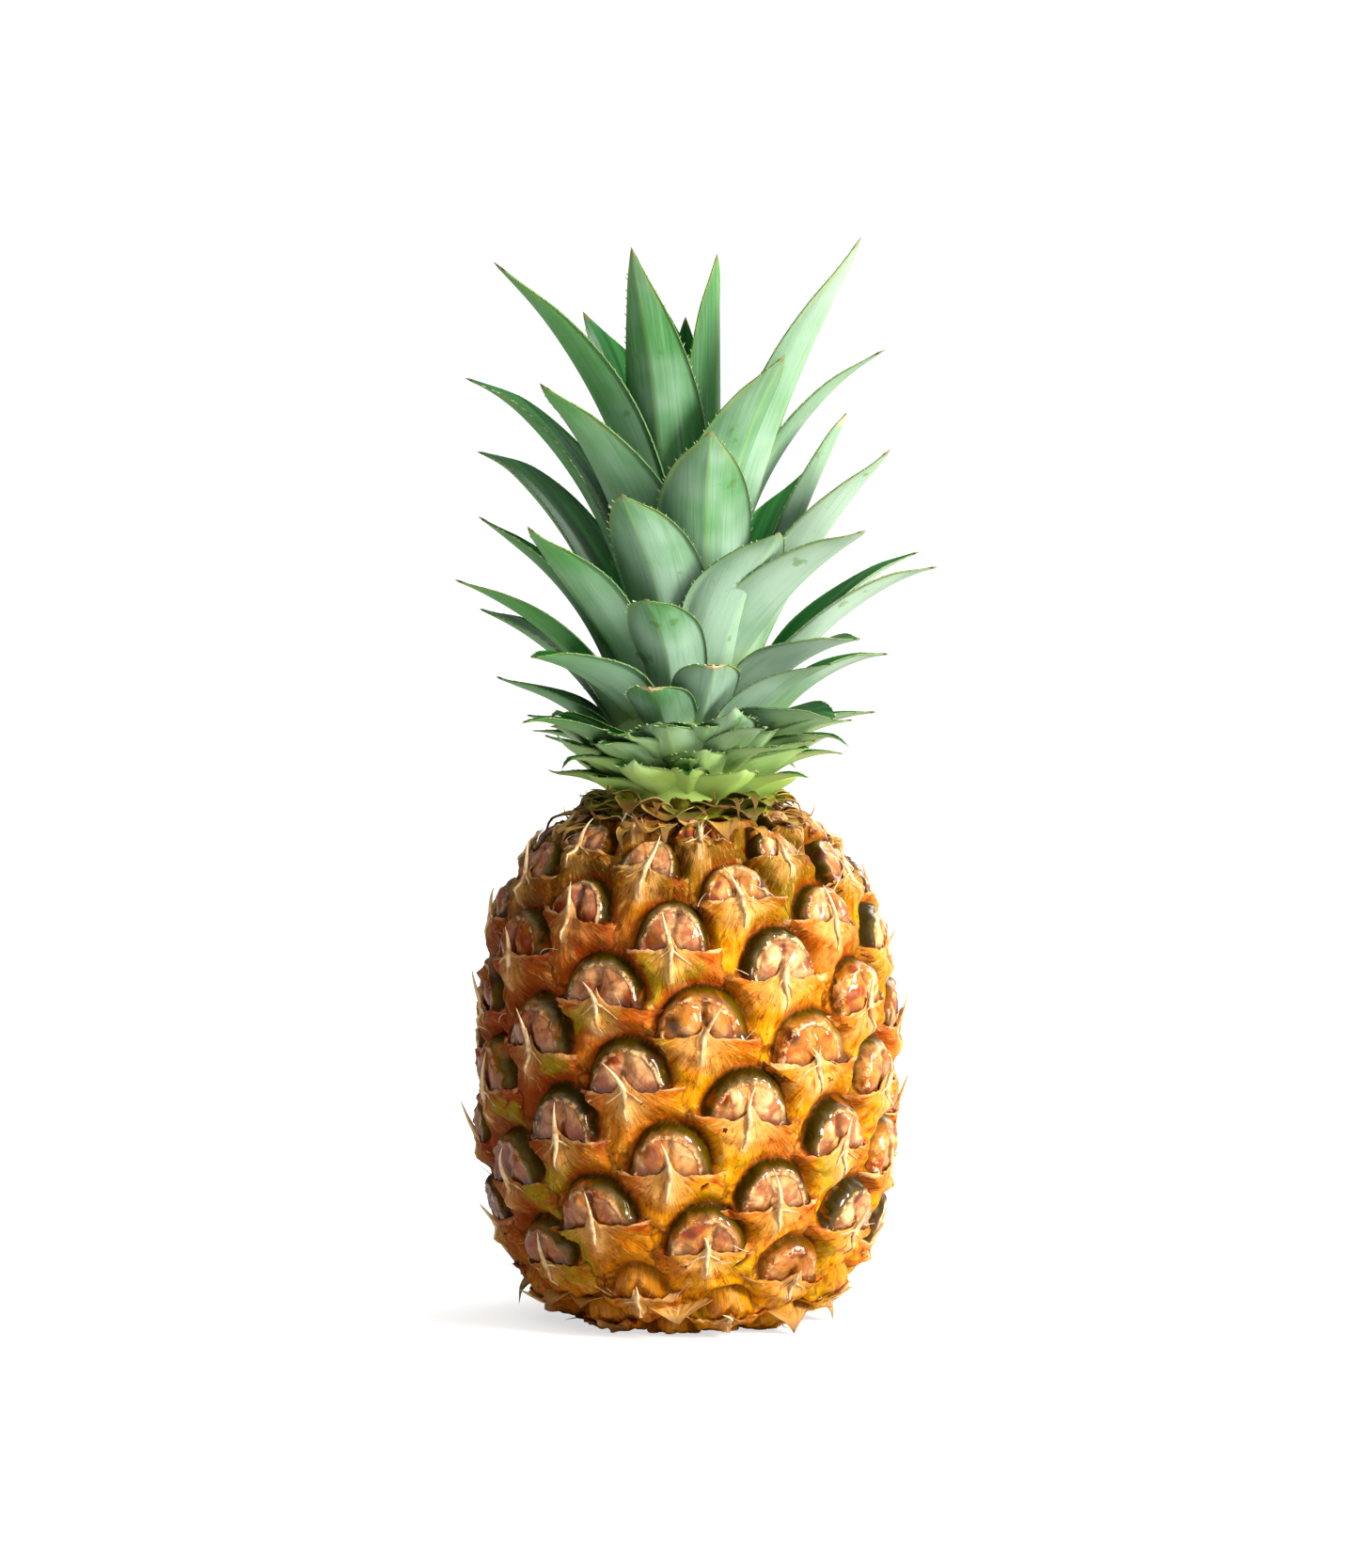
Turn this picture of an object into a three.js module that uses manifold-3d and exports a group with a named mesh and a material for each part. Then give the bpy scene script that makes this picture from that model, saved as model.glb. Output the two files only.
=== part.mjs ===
// A whole fresh pineapple, as picked and cut from its stalk, standing upright on its base.
//
// Units are millimetres. +Z is up along the stem, the front is -Y, and the origin is the centre of the
// cut stalk's face, on the surface that the fruit stands on. Azimuths run from the front towards +X.
//
//   fruit         the barrel of fruitlets: each eye is a dome with a groove round it, and a bract
//                 below it whose lip overlaps the dome and runs out into a spine
//   cut_stalk     the stub of the fruit stalk, cut level with the base, in a plain hole
//   collar_bracts the ring of small dry bracts between the fruit and its crown
//   crown         the leafy shoot: a tapering stem with its channelled leaves, in a golden-angle spiral

import * as THREE from "three";
import { mergeVertices } from "three/addons/utils/BufferGeometryUtils.js";
import Module from "manifold-3d";

const wasm = await Module();
wasm.setup();

// ---------------------------------------------------------------------------------------------
// Driving dimensions
// ---------------------------------------------------------------------------------------------

const fitGap = 0.3; // between neighbours that touch

const barrel = {
  radius: 57.8, // at the widest place, half way between grooves and domes
  girth: 72, // height of the widest place
  topReach: 76, // from the girth to where the shoulders would meet
  baseReach: 75, // from the girth to where the round base would end, just under the table
  squareness: 2.8, // exponent of the outline: 2 is an ellipse, more is squarer
};

const eyes = {
  divergence: 137.66, // degrees from one eye to the next one up
  firstAzimuth: 5.3, // of the reference eye
  firstHeight: 88, // of the reference eye's lip
  rise: 1.85, // along the outline from one eye to the next, at the girth
  shrink: 0.5, // how far the rise follows the radius towards the ends
  lowestRadius: 21, // where the eyes end, underneath
  highestRadius: 25, // and on top, inside the collar
  steps: 6, // mesh steps along each side of an eye's cell
};

// Of one eye at the girth. Heights are from the plain barrel.
const dome = { halfWidth: 12.6, height: 15.4, crest: 2.3, groove: -1.5 };
const bract = {
  wing: 17,
  lip: 2.5,
  wingLip: 0.6,
  fall: 16,
  shoulder: 1.75,
  foot: -0.6,
  ridgeWidth: 3.5,
  ridge: 1,
};
const relief = { noneAt: 8, fullAt: 34 }; // the barrel radii between which the relief fades in
const spine = {
  length: 10.5,
  lengthSpread: 0.18,
  width: 1.9,
  thickness: 0.9,
  root: 0.5, // height of its foot
  lean: 22, // degrees off the skin
  leanSpread: 14,
  swingSpread: 13,
  lowest: 6, // height under which the eyes' spines are worn off
  narrowest: 38, // barrel radius inside which they are pressed down by the collar
};

const stalk = { radius: 12.6, height: 9, taper: 0.94, bulge: 1.2, sides: 18 };

const collar = {
  outerRadius: 26,
  innerRadius: 20.4,
  seat: 142.2, // height of the recess floor in the fruit's top
  top: 147.6,
  rim: 145.6, // height that the fruit's shoulder is worn down to under the bracts
  sides: 26,
  count: 21,
  bractWidth: 12,
  bractThickness: 1.3,
  tipRadius: 32.5,
  tipHeight: 155,
};

// The shoot's stem with the sheathing feet of its leaves, as [height, radius].
const stem = { sides: 12, outline: [[142.5, 20], [149, 20], [160, 22], [172, 21], [186, 15], [200, 8]] };

const crown = {
  count: 54, // leaves, from the heart (0) down to the collar
  divergence: 137.5, // degrees from one leaf to the next one down
  firstAzimuth: 90,
  lowestRoot: 149.8,
  highestRoot: 194,
  crowding: 1.3, // more than 1 packs the roots of the lower leaves closer
  thickness: 1.7,
  lowestThickness: 1.2,
  arch: 0.12, // bulge of the centre line, as a share of the chord
  channel: 0.72, // depth of the channel, as a share of the half width
  lowestChannel: 0.4,
  sink: 4, // how deep the roots are sunk into the stem
  longLeaves: 36, // the leaves down to here are drawn with more steps
};

// Anchors along the crown's spiral, as [leaf number, value]; the leaves between are interpolated.
const tipHeights = [[0, 284], [8, 280], [20, 245], [30, 214], [36, 196], [42, 177], [48, 171], [53, 165]];
const tipRadii = [[0, 12], [3, 30], [6, 50], [12, 64], [30, 67], [38, 58], [43, 53], [48, 47], [53, 38]];
const leafWidths = [[0, 15], [5, 23], [9, 28], [24, 27], [34, 25], [44, 21], [53, 17]];

// Leaves that stand off that rule, as leaf number: [azimuth, tip radius, tip height, arch, share of width].
const strayLeaves = {
  2: [188, 35, 291, 0.05],
  3: [55, 10, 309, 0.0],
  4: [-62, 61, 304, 0.11],
  5: [58, 59, 308, 0.07],
  6: [-24, 44, 306, 0.1],
  7: [-138, 44, 289, 0.08, 1.15],
  8: [40, 43, 279, 0.1],
  9: [-46, 57, 270, 0.11, 0.95],
  10: [82, 57, 281, 0.14, 0.7],
  11: [9, 50, 257, 0.08],
  12: [-108, 68, 273, 0.13, 0.85],
  13: [50, 65, 229, 0.08],
  14: [-21, 50, 240, 0.08, 0.95],
  15: [72, 51, 266, 0.02, 0.6],
  16: [31, 50, 230, 0.06],
  17: [-50, 60, 229, 0.05, 0.85],
  18: [62, 65, 251, 0.06, 0.85],
  19: [-14, 46, 211, 0.07, 0.78],
  20: [-124, 75, 251, 0.12, 0.85],
  21: [54, 60, 199, 0.08, 0.9],
  22: [-50, 58, 194, 0.08, 0.9],
  23: [140, 54, 241, 0.08],
  24: [11, 43, 195, 0.05, 0.7],
  25: [-98, 61, 230, 0.12, 0.8],
  26: [80, 72.5, 219, 0.1, 0.85],
  27: [-11, 43, 188, 0.05, 0.72],
  29: [53, 53, 176, 0.08],
  30: [-76, 68, 214, 0.11, 0.85],
  31: [110, 72, 221, 0.1, 0.85],
  32: [8, 41, 174, 0.04],
  33: [-112, 66, 203, 0.11],
  34: [88, 58, 193, 0.12],
  35: [-30, 42, 172, 0.05],
  38: [-90, 55, 184, 0.12],
};

// ---------------------------------------------------------------------------------------------
// Helpers
// ---------------------------------------------------------------------------------------------

const radians = THREE.MathUtils.degToRad;
const clamp = THREE.MathUtils.clamp;
const lerp = THREE.MathUtils.lerp;
const smooth = THREE.MathUtils.smoothstep;
const up = new THREE.Vector3(0, 0, 1);

// A repeatable random number between -1 and 1 for a pair of whole numbers.
function jitter(number, salt) {
  const wave = Math.sin(number * 127.1 + salt * 311.7) * 43758.5453;
  return 2 * (wave - Math.floor(wave)) - 1;
}

function interpolate(anchors, at) {
  const next = anchors.findIndex(([position]) => position >= at);
  if (next === 0) return anchors[0][1];
  if (next < 0) return anchors[anchors.length - 1][1];
  const [x0, y0] = anchors[next - 1];
  const [x1, y1] = anchors[next];
  return lerp(y0, y1, (at - x0) / (x1 - x0));
}

function outward(azimuth) {
  return new THREE.Vector3(Math.sin(azimuth), -Math.cos(azimuth), 0);
}

function indexedGeometry(points, triangles) {
  const geometry = new THREE.BufferGeometry().setFromPoints(points);
  geometry.setIndex(triangles);
  return geometry;
}

function solidOf(geometry) {
  const plain = geometry.clone();
  plain.deleteAttribute("normal");
  plain.deleteAttribute("uv");
  const merged = mergeVertices(plain, 1e-4);
  return new wasm.Manifold(new wasm.Mesh({
    numProp: 3,
    vertProperties: merged.attributes.position.array,
    triVerts: new Uint32Array(merged.index.array),
  }));
}

// The largest body of a solid: scraps are dropped, and hollows that fusing has sealed are filled.
function wholeBody(solid) {
  return solid.decompose().reduce((largest, piece) =>
    (piece.volume() > largest.volume() ? piece : largest));
}

function meshOf(name, solid, material) {
  const { vertProperties, triVerts } = wholeBody(solid).getMesh();
  const geometry = new THREE.BufferGeometry();
  geometry.setAttribute("position", new THREE.BufferAttribute(vertProperties, 3));
  geometry.setIndex(new THREE.BufferAttribute(triVerts, 1));
  geometry.computeVertexNormals();
  const mesh = new THREE.Mesh(geometry, material);
  mesh.name = name;
  return mesh;
}

// A solid of revolution about the stem, from [radius, height] pairs.
function turned(profile, sides) {
  const points = profile.map(([radius, height]) => new THREE.Vector2(radius, height));
  return solidOf(new THREE.LatheGeometry(points, sides).rotateX(Math.PI / 2));
}

// A tapering blade through the rings, each with the same number of points, to a pointed tip.
function blade(rings, tip) {
  const around = rings[0].length;
  const points = [...rings.flat(), tip];
  const triangles = [];
  for (let side = 1; side < around - 1; side++) triangles.push(0, side, side + 1);
  for (let ring = 0; ring < rings.length; ring++) {
    for (let side = 0; side < around; side++) {
      const here = ring * around + side;
      const beside = ring * around + ((side + 1) % around);
      if (ring === rings.length - 1) triangles.push(here, points.length - 1, beside);
      else triangles.push(here, here + around, beside, beside, here + around, beside + around);
    }
  }
  return solidOf(indexedGeometry(points, triangles));
}

// ---------------------------------------------------------------------------------------------
// Fruit
// ---------------------------------------------------------------------------------------------

// The outline of the barrel, as evenly spaced stations from underneath to the top, each with the
// number of eyes that the spiral has laid down to there, counted from the reference eye.
function outlineStations() {
  const stations = [];
  const count = 1600; // fine enough to read as a smooth curve
  const power = 2 / barrel.squareness;
  for (let i = 0; i <= count; i++) {
    const angle = (i / count - 0.5) * Math.PI;
    const reach = angle < 0 ? -barrel.baseReach : barrel.topReach;
    stations.push({
      radius: barrel.radius * Math.cos(angle) ** power,
      height: barrel.girth + reach * Math.abs(Math.sin(angle)) ** power,
      turn: 0,
    });
  }
  stations[0].radius = 0;
  stations[count].radius = 0;
  for (let i = 1; i <= count; i++) {
    const [a, b] = [stations[i - 1], stations[i]];
    const length = Math.hypot(b.radius - a.radius, b.height - a.height);
    const share = Math.max((a.radius + b.radius) / 2 / barrel.radius, 0.05);
    b.turn = a.turn + length / (eyes.rise * share ** eyes.shrink);
  }
  const reference = stations.find(({ height }) => height >= eyes.firstHeight).turn;
  for (const station of stations) station.turn -= reference;
  return stations;
}

const stations = outlineStations();
const lowestTurn = stations.find(({ radius }) => radius >= eyes.lowestRadius).turn;
const highestTurn = stations.findLast(({ radius }) => radius >= eyes.highestRadius).turn;

// Radius, height and outward normal of the plain barrel where the spiral has made that many turns.
function outlineAt(turn) {
  let low = 0;
  let high = stations.length - 1;
  while (high - low > 1) {
    const middle = (low + high) >> 1;
    if (stations[middle].turn <= turn) low = middle;
    else high = middle;
  }
  const [a, b] = [stations[low], stations[high]];
  const share = clamp((turn - a.turn) / (b.turn - a.turn), 0, 1);
  const slope = new THREE.Vector2(b.height - a.height, a.radius - b.radius).normalize();
  return { radius: lerp(a.radius, b.radius, share), height: lerp(a.height, b.height, share), slope };
}

// The spiral's two steepest families of eyes give the axes of a cell: 8 eyes on and 13 eyes on.
function family(step) {
  const degrees = THREE.MathUtils.euclideanModulo(step * eyes.divergence + 180, 360) - 180;
  return { step, degrees, across: radians(degrees) * barrel.radius, along: step * eyes.rise };
}

const eights = family(8);
const thirteens = family(13);

// The barrel's surface at a place in the spiral, raised or sunk by so much.
function skinPoint(u, v, raised) {
  const { radius, height, slope } = outlineAt(eights.step * u + thirteens.step * v);
  const azimuth = radians(eyes.firstAzimuth + eights.degrees * u + thirteens.degrees * v);
  const share = smooth(radius, relief.noneAt, relief.fullAt);
  const point = outward(azimuth).multiplyScalar(radius + raised * share * slope.x);
  point.z = Math.max(height + raised * share * slope.y, 0);
  return point;
}

// Where a place in the spiral lies from the eyes round it, across and up from each eye's lip.
function nearbyEyes(u, v) {
  const found = [];
  for (let i = Math.floor(u) - 1; i <= Math.floor(u) + 2; i++) {
    for (let j = Math.floor(v) - 1; j <= Math.floor(v) + 2; j++) {
      const across = (u - i) * eights.across + (v - j) * thirteens.across;
      const along = (u - i) * eights.along + (v - j) * thirteens.along;
      found.push({ i, j, across, along, ring: Math.hypot(across / dome.halfWidth, along / dome.height) });
    }
  }
  return found;
}

// A vertex of the skin: pulled onto the nearest groove or lip, then raised by the relief there.
function skinVertex(u, v) {
  const reach = 0.5 * Math.hypot(eights.across, eights.along) / eyes.steps;
  const around = nearbyEyes(u, v);
  const domes = around.filter(({ along }) => along > -reach).sort((a, b) => a.ring - b.ring);
  const own = domes[0];
  let { across, along, ring } = own;
  const onLip = Math.abs(along) < reach && Math.abs(across) < bract.wing;
  if (onLip) along = 0;
  else if (Math.abs(ring - 1) * dome.halfWidth < reach) {
    across /= ring;
    along /= ring;
    ring = 1;
  }
  const shift = solveShift(across - own.across, along - own.along);
  return skinPoint(u + shift.u, v + shift.v, raisedBy(across, along, ring, onLip, around));
}

// Height of the skin: on a bract's lip, on the dome, in the groove round it, or on the bracts between.
function raisedBy(across, along, ring, onLip, around) {
  if (onLip) {
    const ridge = bract.ridge * Math.max(0, 1 - Math.abs(across) / bract.ridgeWidth);
    return lerp(bract.lip, bract.wingLip, (across / bract.wing) ** 2) + ridge;
  }
  if (along > 0 && ring < 0.999) return dome.crest * Math.sqrt(1 - ring ** 3);
  if (along > 0 && ring < 1.001) return dome.groove;
  const above = around.filter((eye) => eye.along < 0 && Math.abs(eye.across) < bract.wing);
  const nearest = Math.min(bract.fall, ...above.map((eye) => -eye.along));
  return lerp(bract.shoulder, bract.foot, nearest / bract.fall);
}

// The step in the spiral's own axes that moves a place so far across and along the skin.
function solveShift(across, along) {
  const determinant = eights.across * thirteens.along - thirteens.across * eights.along;
  return {
    u: (across * thirteens.along - along * thirteens.across) / determinant,
    v: (along * eights.across - across * eights.along) / determinant,
  };
}

// The skin is one closed net in the spiral's own axes. It wraps after 13 steps of eight eyes less
// 8 steps of thirteen, and closes on a point at each end.
function skinSolid() {
  const points = [new THREE.Vector3(0, 0, 0), new THREE.Vector3(0, 0, barrel.girth + barrel.topReach)];
  const numbers = new Map();
  const wrapU = thirteens.step * eyes.steps;
  const wrapV = eights.step * eyes.steps;
  const turnAt = (i, j) => (eights.step * i + thirteens.step * j) / eyes.steps;

  function vertexAt(i, j) {
    const laps = Math.floor(i / wrapU);
    const [a, b] = [i - laps * wrapU, j + laps * wrapV];
    if (turnAt(a, b) < lowestTurn) return 0;
    if (turnAt(a, b) > highestTurn) return 1;
    const key = `${a},${b}`;
    if (!numbers.has(key)) {
      numbers.set(key, points.length);
      points.push(skinVertex(a / eyes.steps, b / eyes.steps));
    }
    return numbers.get(key);
  }

  const triangles = [];
  const addTriangle = (...corners) => {
    if (new Set(corners).size === 3) triangles.push(...corners);
  };
  for (let i = 0; i < wrapU; i++) {
    const first = Math.floor((lowestTurn * eyes.steps - eights.step * i) / thirteens.step) - 2;
    const last = Math.ceil((highestTurn * eyes.steps - eights.step * i) / thirteens.step) + 1;
    for (let j = first; j <= last; j++) {
      const [a, b, c, d] = [vertexAt(i, j), vertexAt(i + 1, j), vertexAt(i + 1, j + 1), vertexAt(i, j + 1)];
      addTriangle(a, b, d);
      addTriangle(b, c, d);
    }
  }
  return solidOf(indexedGeometry(points, triangles));
}

// Every eye of the fruit, as whole steps along the two families.
function allEyes() {
  const found = [];
  for (let i = 0; i < thirteens.step; i++) {
    const first = Math.ceil((lowestTurn - eights.step * i) / thirteens.step);
    const last = Math.floor((highestTurn - eights.step * i) / thirteens.step);
    for (let j = first; j <= last; j++) found.push({ i, j, number: eights.step * i + thirteens.step * j });
  }
  return found;
}

// A spine: the dry tip of a bract, which stands off the dome above it.
function spineSolid({ i, j, number }) {
  const near = (across, along) => {
    const shift = solveShift(across, along);
    return skinPoint(i + shift.u, j + shift.v, spine.root);
  };
  const root = near(0, 0);
  const climb = near(0, spine.width).sub(root).normalize();
  const across = near(spine.width, 0).sub(root).normalize();
  const away = new THREE.Vector3().crossVectors(across, climb).normalize();
  const lean = radians(spine.lean + spine.leanSpread * jitter(number, 1));
  const swing = radians(spine.swingSpread * jitter(number, 2));
  const direction = climb.clone().applyAxisAngle(away, swing).applyAxisAngle(across, lean);
  const size = Math.sqrt(outlineAt(number).radius / barrel.radius);
  const length = spine.length * size * (1 + spine.lengthSpread * jitter(number, 3));
  const ring = [[-1, -0.6], [1, -0.6], [0, 1]].map(([x, y]) => root.clone()
    .addScaledVector(across, x * spine.width * size)
    .addScaledVector(away, y * spine.thickness));
  return blade([ring], root.clone().addScaledVector(direction, length));
}

function fruitSolid() {
  const spined = allEyes().filter(({ number }) => {
    const { radius, height } = outlineAt(number);
    return height > spine.lowest && radius > spine.narrowest;
  });
  const whole = wasm.Manifold.union([skinSolid(), ...spined.map(spineSolid)]);
  const hole = [stalk.radius + fitGap, stalk.height + fitGap];
  const stalkHole = turned([[0, -1], [hole[0], -1], hole, [0, hole[1]]], stalk.sides);
  const { seat, rim, outerRadius, sides } = collar;
  const clear = barrel.girth + barrel.topReach + spine.length;
  const recess = turned([[0, seat], [outerRadius + fitGap, seat], [outerRadius + fitGap, rim],
    [barrel.radius, rim], [barrel.radius, clear], [0, clear]], sides);
  return whole.subtract(stalkHole).subtract(recess);
}

// ---------------------------------------------------------------------------------------------
// Cut stalk
// ---------------------------------------------------------------------------------------------

function stalkSolid() {
  const { radius, height, taper, bulge, sides } = stalk;
  const foot = radius * taper;
  return turned([[0, 0], [foot, 0], [radius, bulge], [foot, height], [0, height]], sides);
}

// ---------------------------------------------------------------------------------------------
// Leaves
// ---------------------------------------------------------------------------------------------

// A leaf from root to tip in the upright plane of its azimuth. It leaves the stem steeply and arches
// outwards; across, its edges stand up towards the stem, so that it is a channel with a keel.
function leafSolid(leaf) {
  const { azimuth, root, tip, width, thickness, arch, channel, steps } = leaf;
  const away = outward(azimuth);
  const side = new THREE.Vector3().crossVectors(away, up);
  const chord = new THREE.Vector2(tip.radius - root.radius, tip.height - root.height);
  const bulge = new THREE.Vector2(-chord.y, chord.x).multiplyScalar(arch);
  const place = (t) => {
    const lift = 4 * t * (1 - t);
    return away.clone().multiplyScalar(root.radius + chord.x * t + bulge.x * lift)
      .setZ(root.height + chord.y * t + bulge.y * lift);
  };
  const rings = [];
  for (let step = 0; step < steps; step++) {
    const t = step / steps;
    const here = place(t);
    const along = place(t + 0.01).sub(place(t - 0.01)).normalize();
    const inner = new THREE.Vector3().crossVectors(side, along);
    const half = (width / 2) * leafShare(t, leaf);
    const depth = half * channel * (1 - 0.45 * t);
    const solid = (thickness / 2) * (1 - 0.55 * t);
    rings.push([[-half, depth], [0, -solid], [half, depth], [0, solid]].map(([x, y]) =>
      here.clone().addScaledVector(side, x).addScaledVector(inner, y)));
  }
  return blade(rings, place(1));
}

// A leaf's half width as a share of its fullest: broad at the root, fullest low down, then pointed,
// with fuller shoulders where bluntness is higher.
function leafShare(t, { rootShare, fullest, bluntness }) {
  if (t < fullest) return lerp(rootShare, 1, Math.sin((t / fullest) * Math.PI / 2));
  const rest = (t - fullest) / (1 - fullest);
  return 1 - rest ** bluntness;
}

// Where the tip of a crown leaf is: by the rule, or by its own entry among the stray ones.
function crownTip(number) {
  if (number in strayLeaves) return strayLeaves[number];
  return [
    crown.firstAzimuth - number * crown.divergence + 4 * jitter(number, 4),
    interpolate(tipRadii, number) * (1 + 0.06 * jitter(number, 5)),
    interpolate(tipHeights, number) + 1.5 * jitter(number, 6),
    crown.arch,
  ];
}

function crownLeaf(number) {
  const age = number / (crown.count - 1);
  const rootHeight = lerp(crown.lowestRoot, crown.highestRoot, (1 - age) ** crown.crowding);
  const [azimuth, tipRadius, tipHeight, arch, slimness = 1] = crownTip(number);
  const lowness = smooth(age, 0.45, 0.8);
  return leafSolid({
    azimuth: radians(azimuth),
    root: { radius: Math.max(interpolate(stem.outline, rootHeight) - crown.sink, 0.5), height: rootHeight },
    tip: { radius: tipRadius, height: tipHeight },
    width: interpolate(leafWidths, number) * slimness,
    thickness: lerp(crown.thickness, crown.lowestThickness, age),
    arch,
    channel: lerp(crown.channel, crown.lowestChannel, age),
    steps: number < crown.longLeaves ? 6 : 4,
    rootShare: lerp(0.6, 0.8, age),
    fullest: lerp(0.5, 0.32, lowness),
    bluntness: lerp(1.9, 1.35, lowness),
  });
}

function crownSolid() {
  const foot = stem.outline[0][0];
  const top = stem.outline[stem.outline.length - 1][0];
  const profile = stem.outline.map(([height, radius]) => [radius, height]);
  const core = turned([[0, foot], ...profile, [0, top]], stem.sides);
  const leaves = Array.from({ length: crown.count }, (_, number) => crownLeaf(number));
  return wasm.Manifold.union([core, ...leaves]);
}

// ---------------------------------------------------------------------------------------------
// Collar
// ---------------------------------------------------------------------------------------------

function collarSolid() {
  const { outerRadius, innerRadius, seat, top } = collar;
  const foot = seat + fitGap;
  const edge = [[outerRadius, foot], [outerRadius, top - 1], [innerRadius + 4, top]];
  const disc = turned([[0, foot], ...edge, [0, top]], collar.sides);
  const bore = innerRadius + fitGap;
  const { sides, tipHeight } = collar;
  const stemHole = turned([[0, seat], [bore, seat], [bore, tipHeight], [0, tipHeight]], sides);
  const bracts = Array.from({ length: collar.count }, (_, number) => leafSolid({
    azimuth: radians(number * crown.divergence),
    root: { radius: innerRadius + 1.5, height: top - 0.8 },
    tip: {
      radius: collar.tipRadius + 2 * jitter(number, 7),
      height: collar.tipHeight + jitter(number, 8),
    },
    width: collar.bractWidth + jitter(number, 9),
    thickness: collar.bractThickness,
    arch: 0.08,
    channel: 0.22,
    steps: 3,
    rootShare: 0.9,
    fullest: 0.35,
    bluntness: 1.9,
  }));
  return wasm.Manifold.union([disc, ...bracts]).subtract(stemHole);
}

// ---------------------------------------------------------------------------------------------
// Assembly
// ---------------------------------------------------------------------------------------------

const material = (color, roughness) => new THREE.MeshStandardMaterial({ color, roughness, metalness: 0 });

const pineapple = new THREE.Group();
pineapple.name = "pineapple";
pineapple.add(
  meshOf("fruit", fruitSolid(), material(0xb8772c, 0.45)),
  meshOf("cut_stalk", stalkSolid(), material(0xc2a878, 0.85)),
  meshOf("collar_bracts", collarSolid(), material(0x8a7a34, 0.7)),
  meshOf("crown", crownSolid(), material(0x7fa585, 0.5)),
);

export default pineapple;
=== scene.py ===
import math
import bpy
import numpy as np
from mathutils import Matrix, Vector


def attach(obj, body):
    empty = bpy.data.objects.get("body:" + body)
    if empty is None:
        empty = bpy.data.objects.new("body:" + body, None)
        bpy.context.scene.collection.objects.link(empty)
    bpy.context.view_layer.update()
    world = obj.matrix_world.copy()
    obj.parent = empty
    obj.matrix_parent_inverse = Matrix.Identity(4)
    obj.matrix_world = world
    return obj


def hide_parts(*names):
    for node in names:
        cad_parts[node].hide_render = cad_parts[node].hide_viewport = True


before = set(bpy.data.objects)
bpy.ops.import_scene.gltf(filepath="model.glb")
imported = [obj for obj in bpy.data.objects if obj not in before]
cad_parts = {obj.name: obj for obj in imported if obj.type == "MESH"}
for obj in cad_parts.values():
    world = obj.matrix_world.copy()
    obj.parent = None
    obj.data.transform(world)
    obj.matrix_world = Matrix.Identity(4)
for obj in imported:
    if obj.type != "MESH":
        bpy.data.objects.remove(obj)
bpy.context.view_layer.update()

mm = 0.001

view = {
    "lens": 150,  # mm
    "sensor": 36,  # mm along its long side
    "frameHeight": 450.5,  # mm at the fruit
    "elevation": 5,  # degrees
    "aim": (-0.5, 0, 154.3),  # mm
}


def placed(name, data):  # a new object in the scene
    thing = bpy.data.objects.new(name, data)
    bpy.context.collection.objects.link(thing)
    return thing


def makeCamera():
    data = bpy.data.cameras.new("camera")
    data.lens, data.sensor_width = view["lens"], view["sensor"]
    distance = view["frameHeight"] * view["lens"] / view["sensor"]
    tilt = math.radians(view["elevation"])
    away = Vector((0, -math.cos(tilt), math.sin(tilt)))
    camera = placed("camera", data)
    camera.location = (Vector(view["aim"]) + away * distance) * mm
    camera.rotation_euler = (math.pi / 2 - tilt, 0, 0)
    bpy.context.scene.camera = camera


makeCamera()
print("camera is set")


class Flow:  # a socket that sums and products can be written with
    def __init__(self, graph, socket):
        self.graph, self.socket = graph, socket

    def __add__(self, other):
        return self.graph.maths("ADD", self, other)

    def __radd__(self, other):
        return self.graph.maths("ADD", other, self)

    def __sub__(self, other):
        return self.graph.maths("SUBTRACT", self, other)

    def __rsub__(self, other):
        return self.graph.maths("SUBTRACT", other, self)

    def __mul__(self, other):
        return self.graph.maths("MULTIPLY", self, other)

    def __rmul__(self, other):
        return self.graph.maths("MULTIPLY", other, self)

    def __abs__(self):
        return self.graph.maths("ABSOLUTE", self)

    def stretch(self, low, high, fromLow=0.0, toHigh=1.0):  # low..high becomes fromLow..toHigh
        inputs = {0: self, 1: low, 2: high, 3: fromLow, 4: toHigh}
        return self.graph.add("ShaderNodeMapRange", {"interpolation_type": "SMOOTHSTEP"}, inputs)


class Graph:  # the nodes of a tree
    def __init__(self, tree):
        self.tree = tree

    def maths(self, operation, first, second=0.0):
        return self.add("ShaderNodeMath", {"operation": operation}, {0: first, 1: second})

    def add(self, kind, settings, inputs, output=0):
        node = self.tree.nodes.new(kind)
        for key, value in settings.items():
            setattr(node, key, value)
        for key, value in inputs.items():
            self.feed(node.inputs[key], value)
        return Flow(self, node.outputs[output])

    def feed(self, socket, value):
        if isinstance(value, Flow):
            self.tree.links.new(value.socket, socket)
        elif isinstance(value, tuple) and len(value) == 3 and socket.type == "RGBA":
            socket.default_value = (*value, 1)
        else:
            socket.default_value = value


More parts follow.
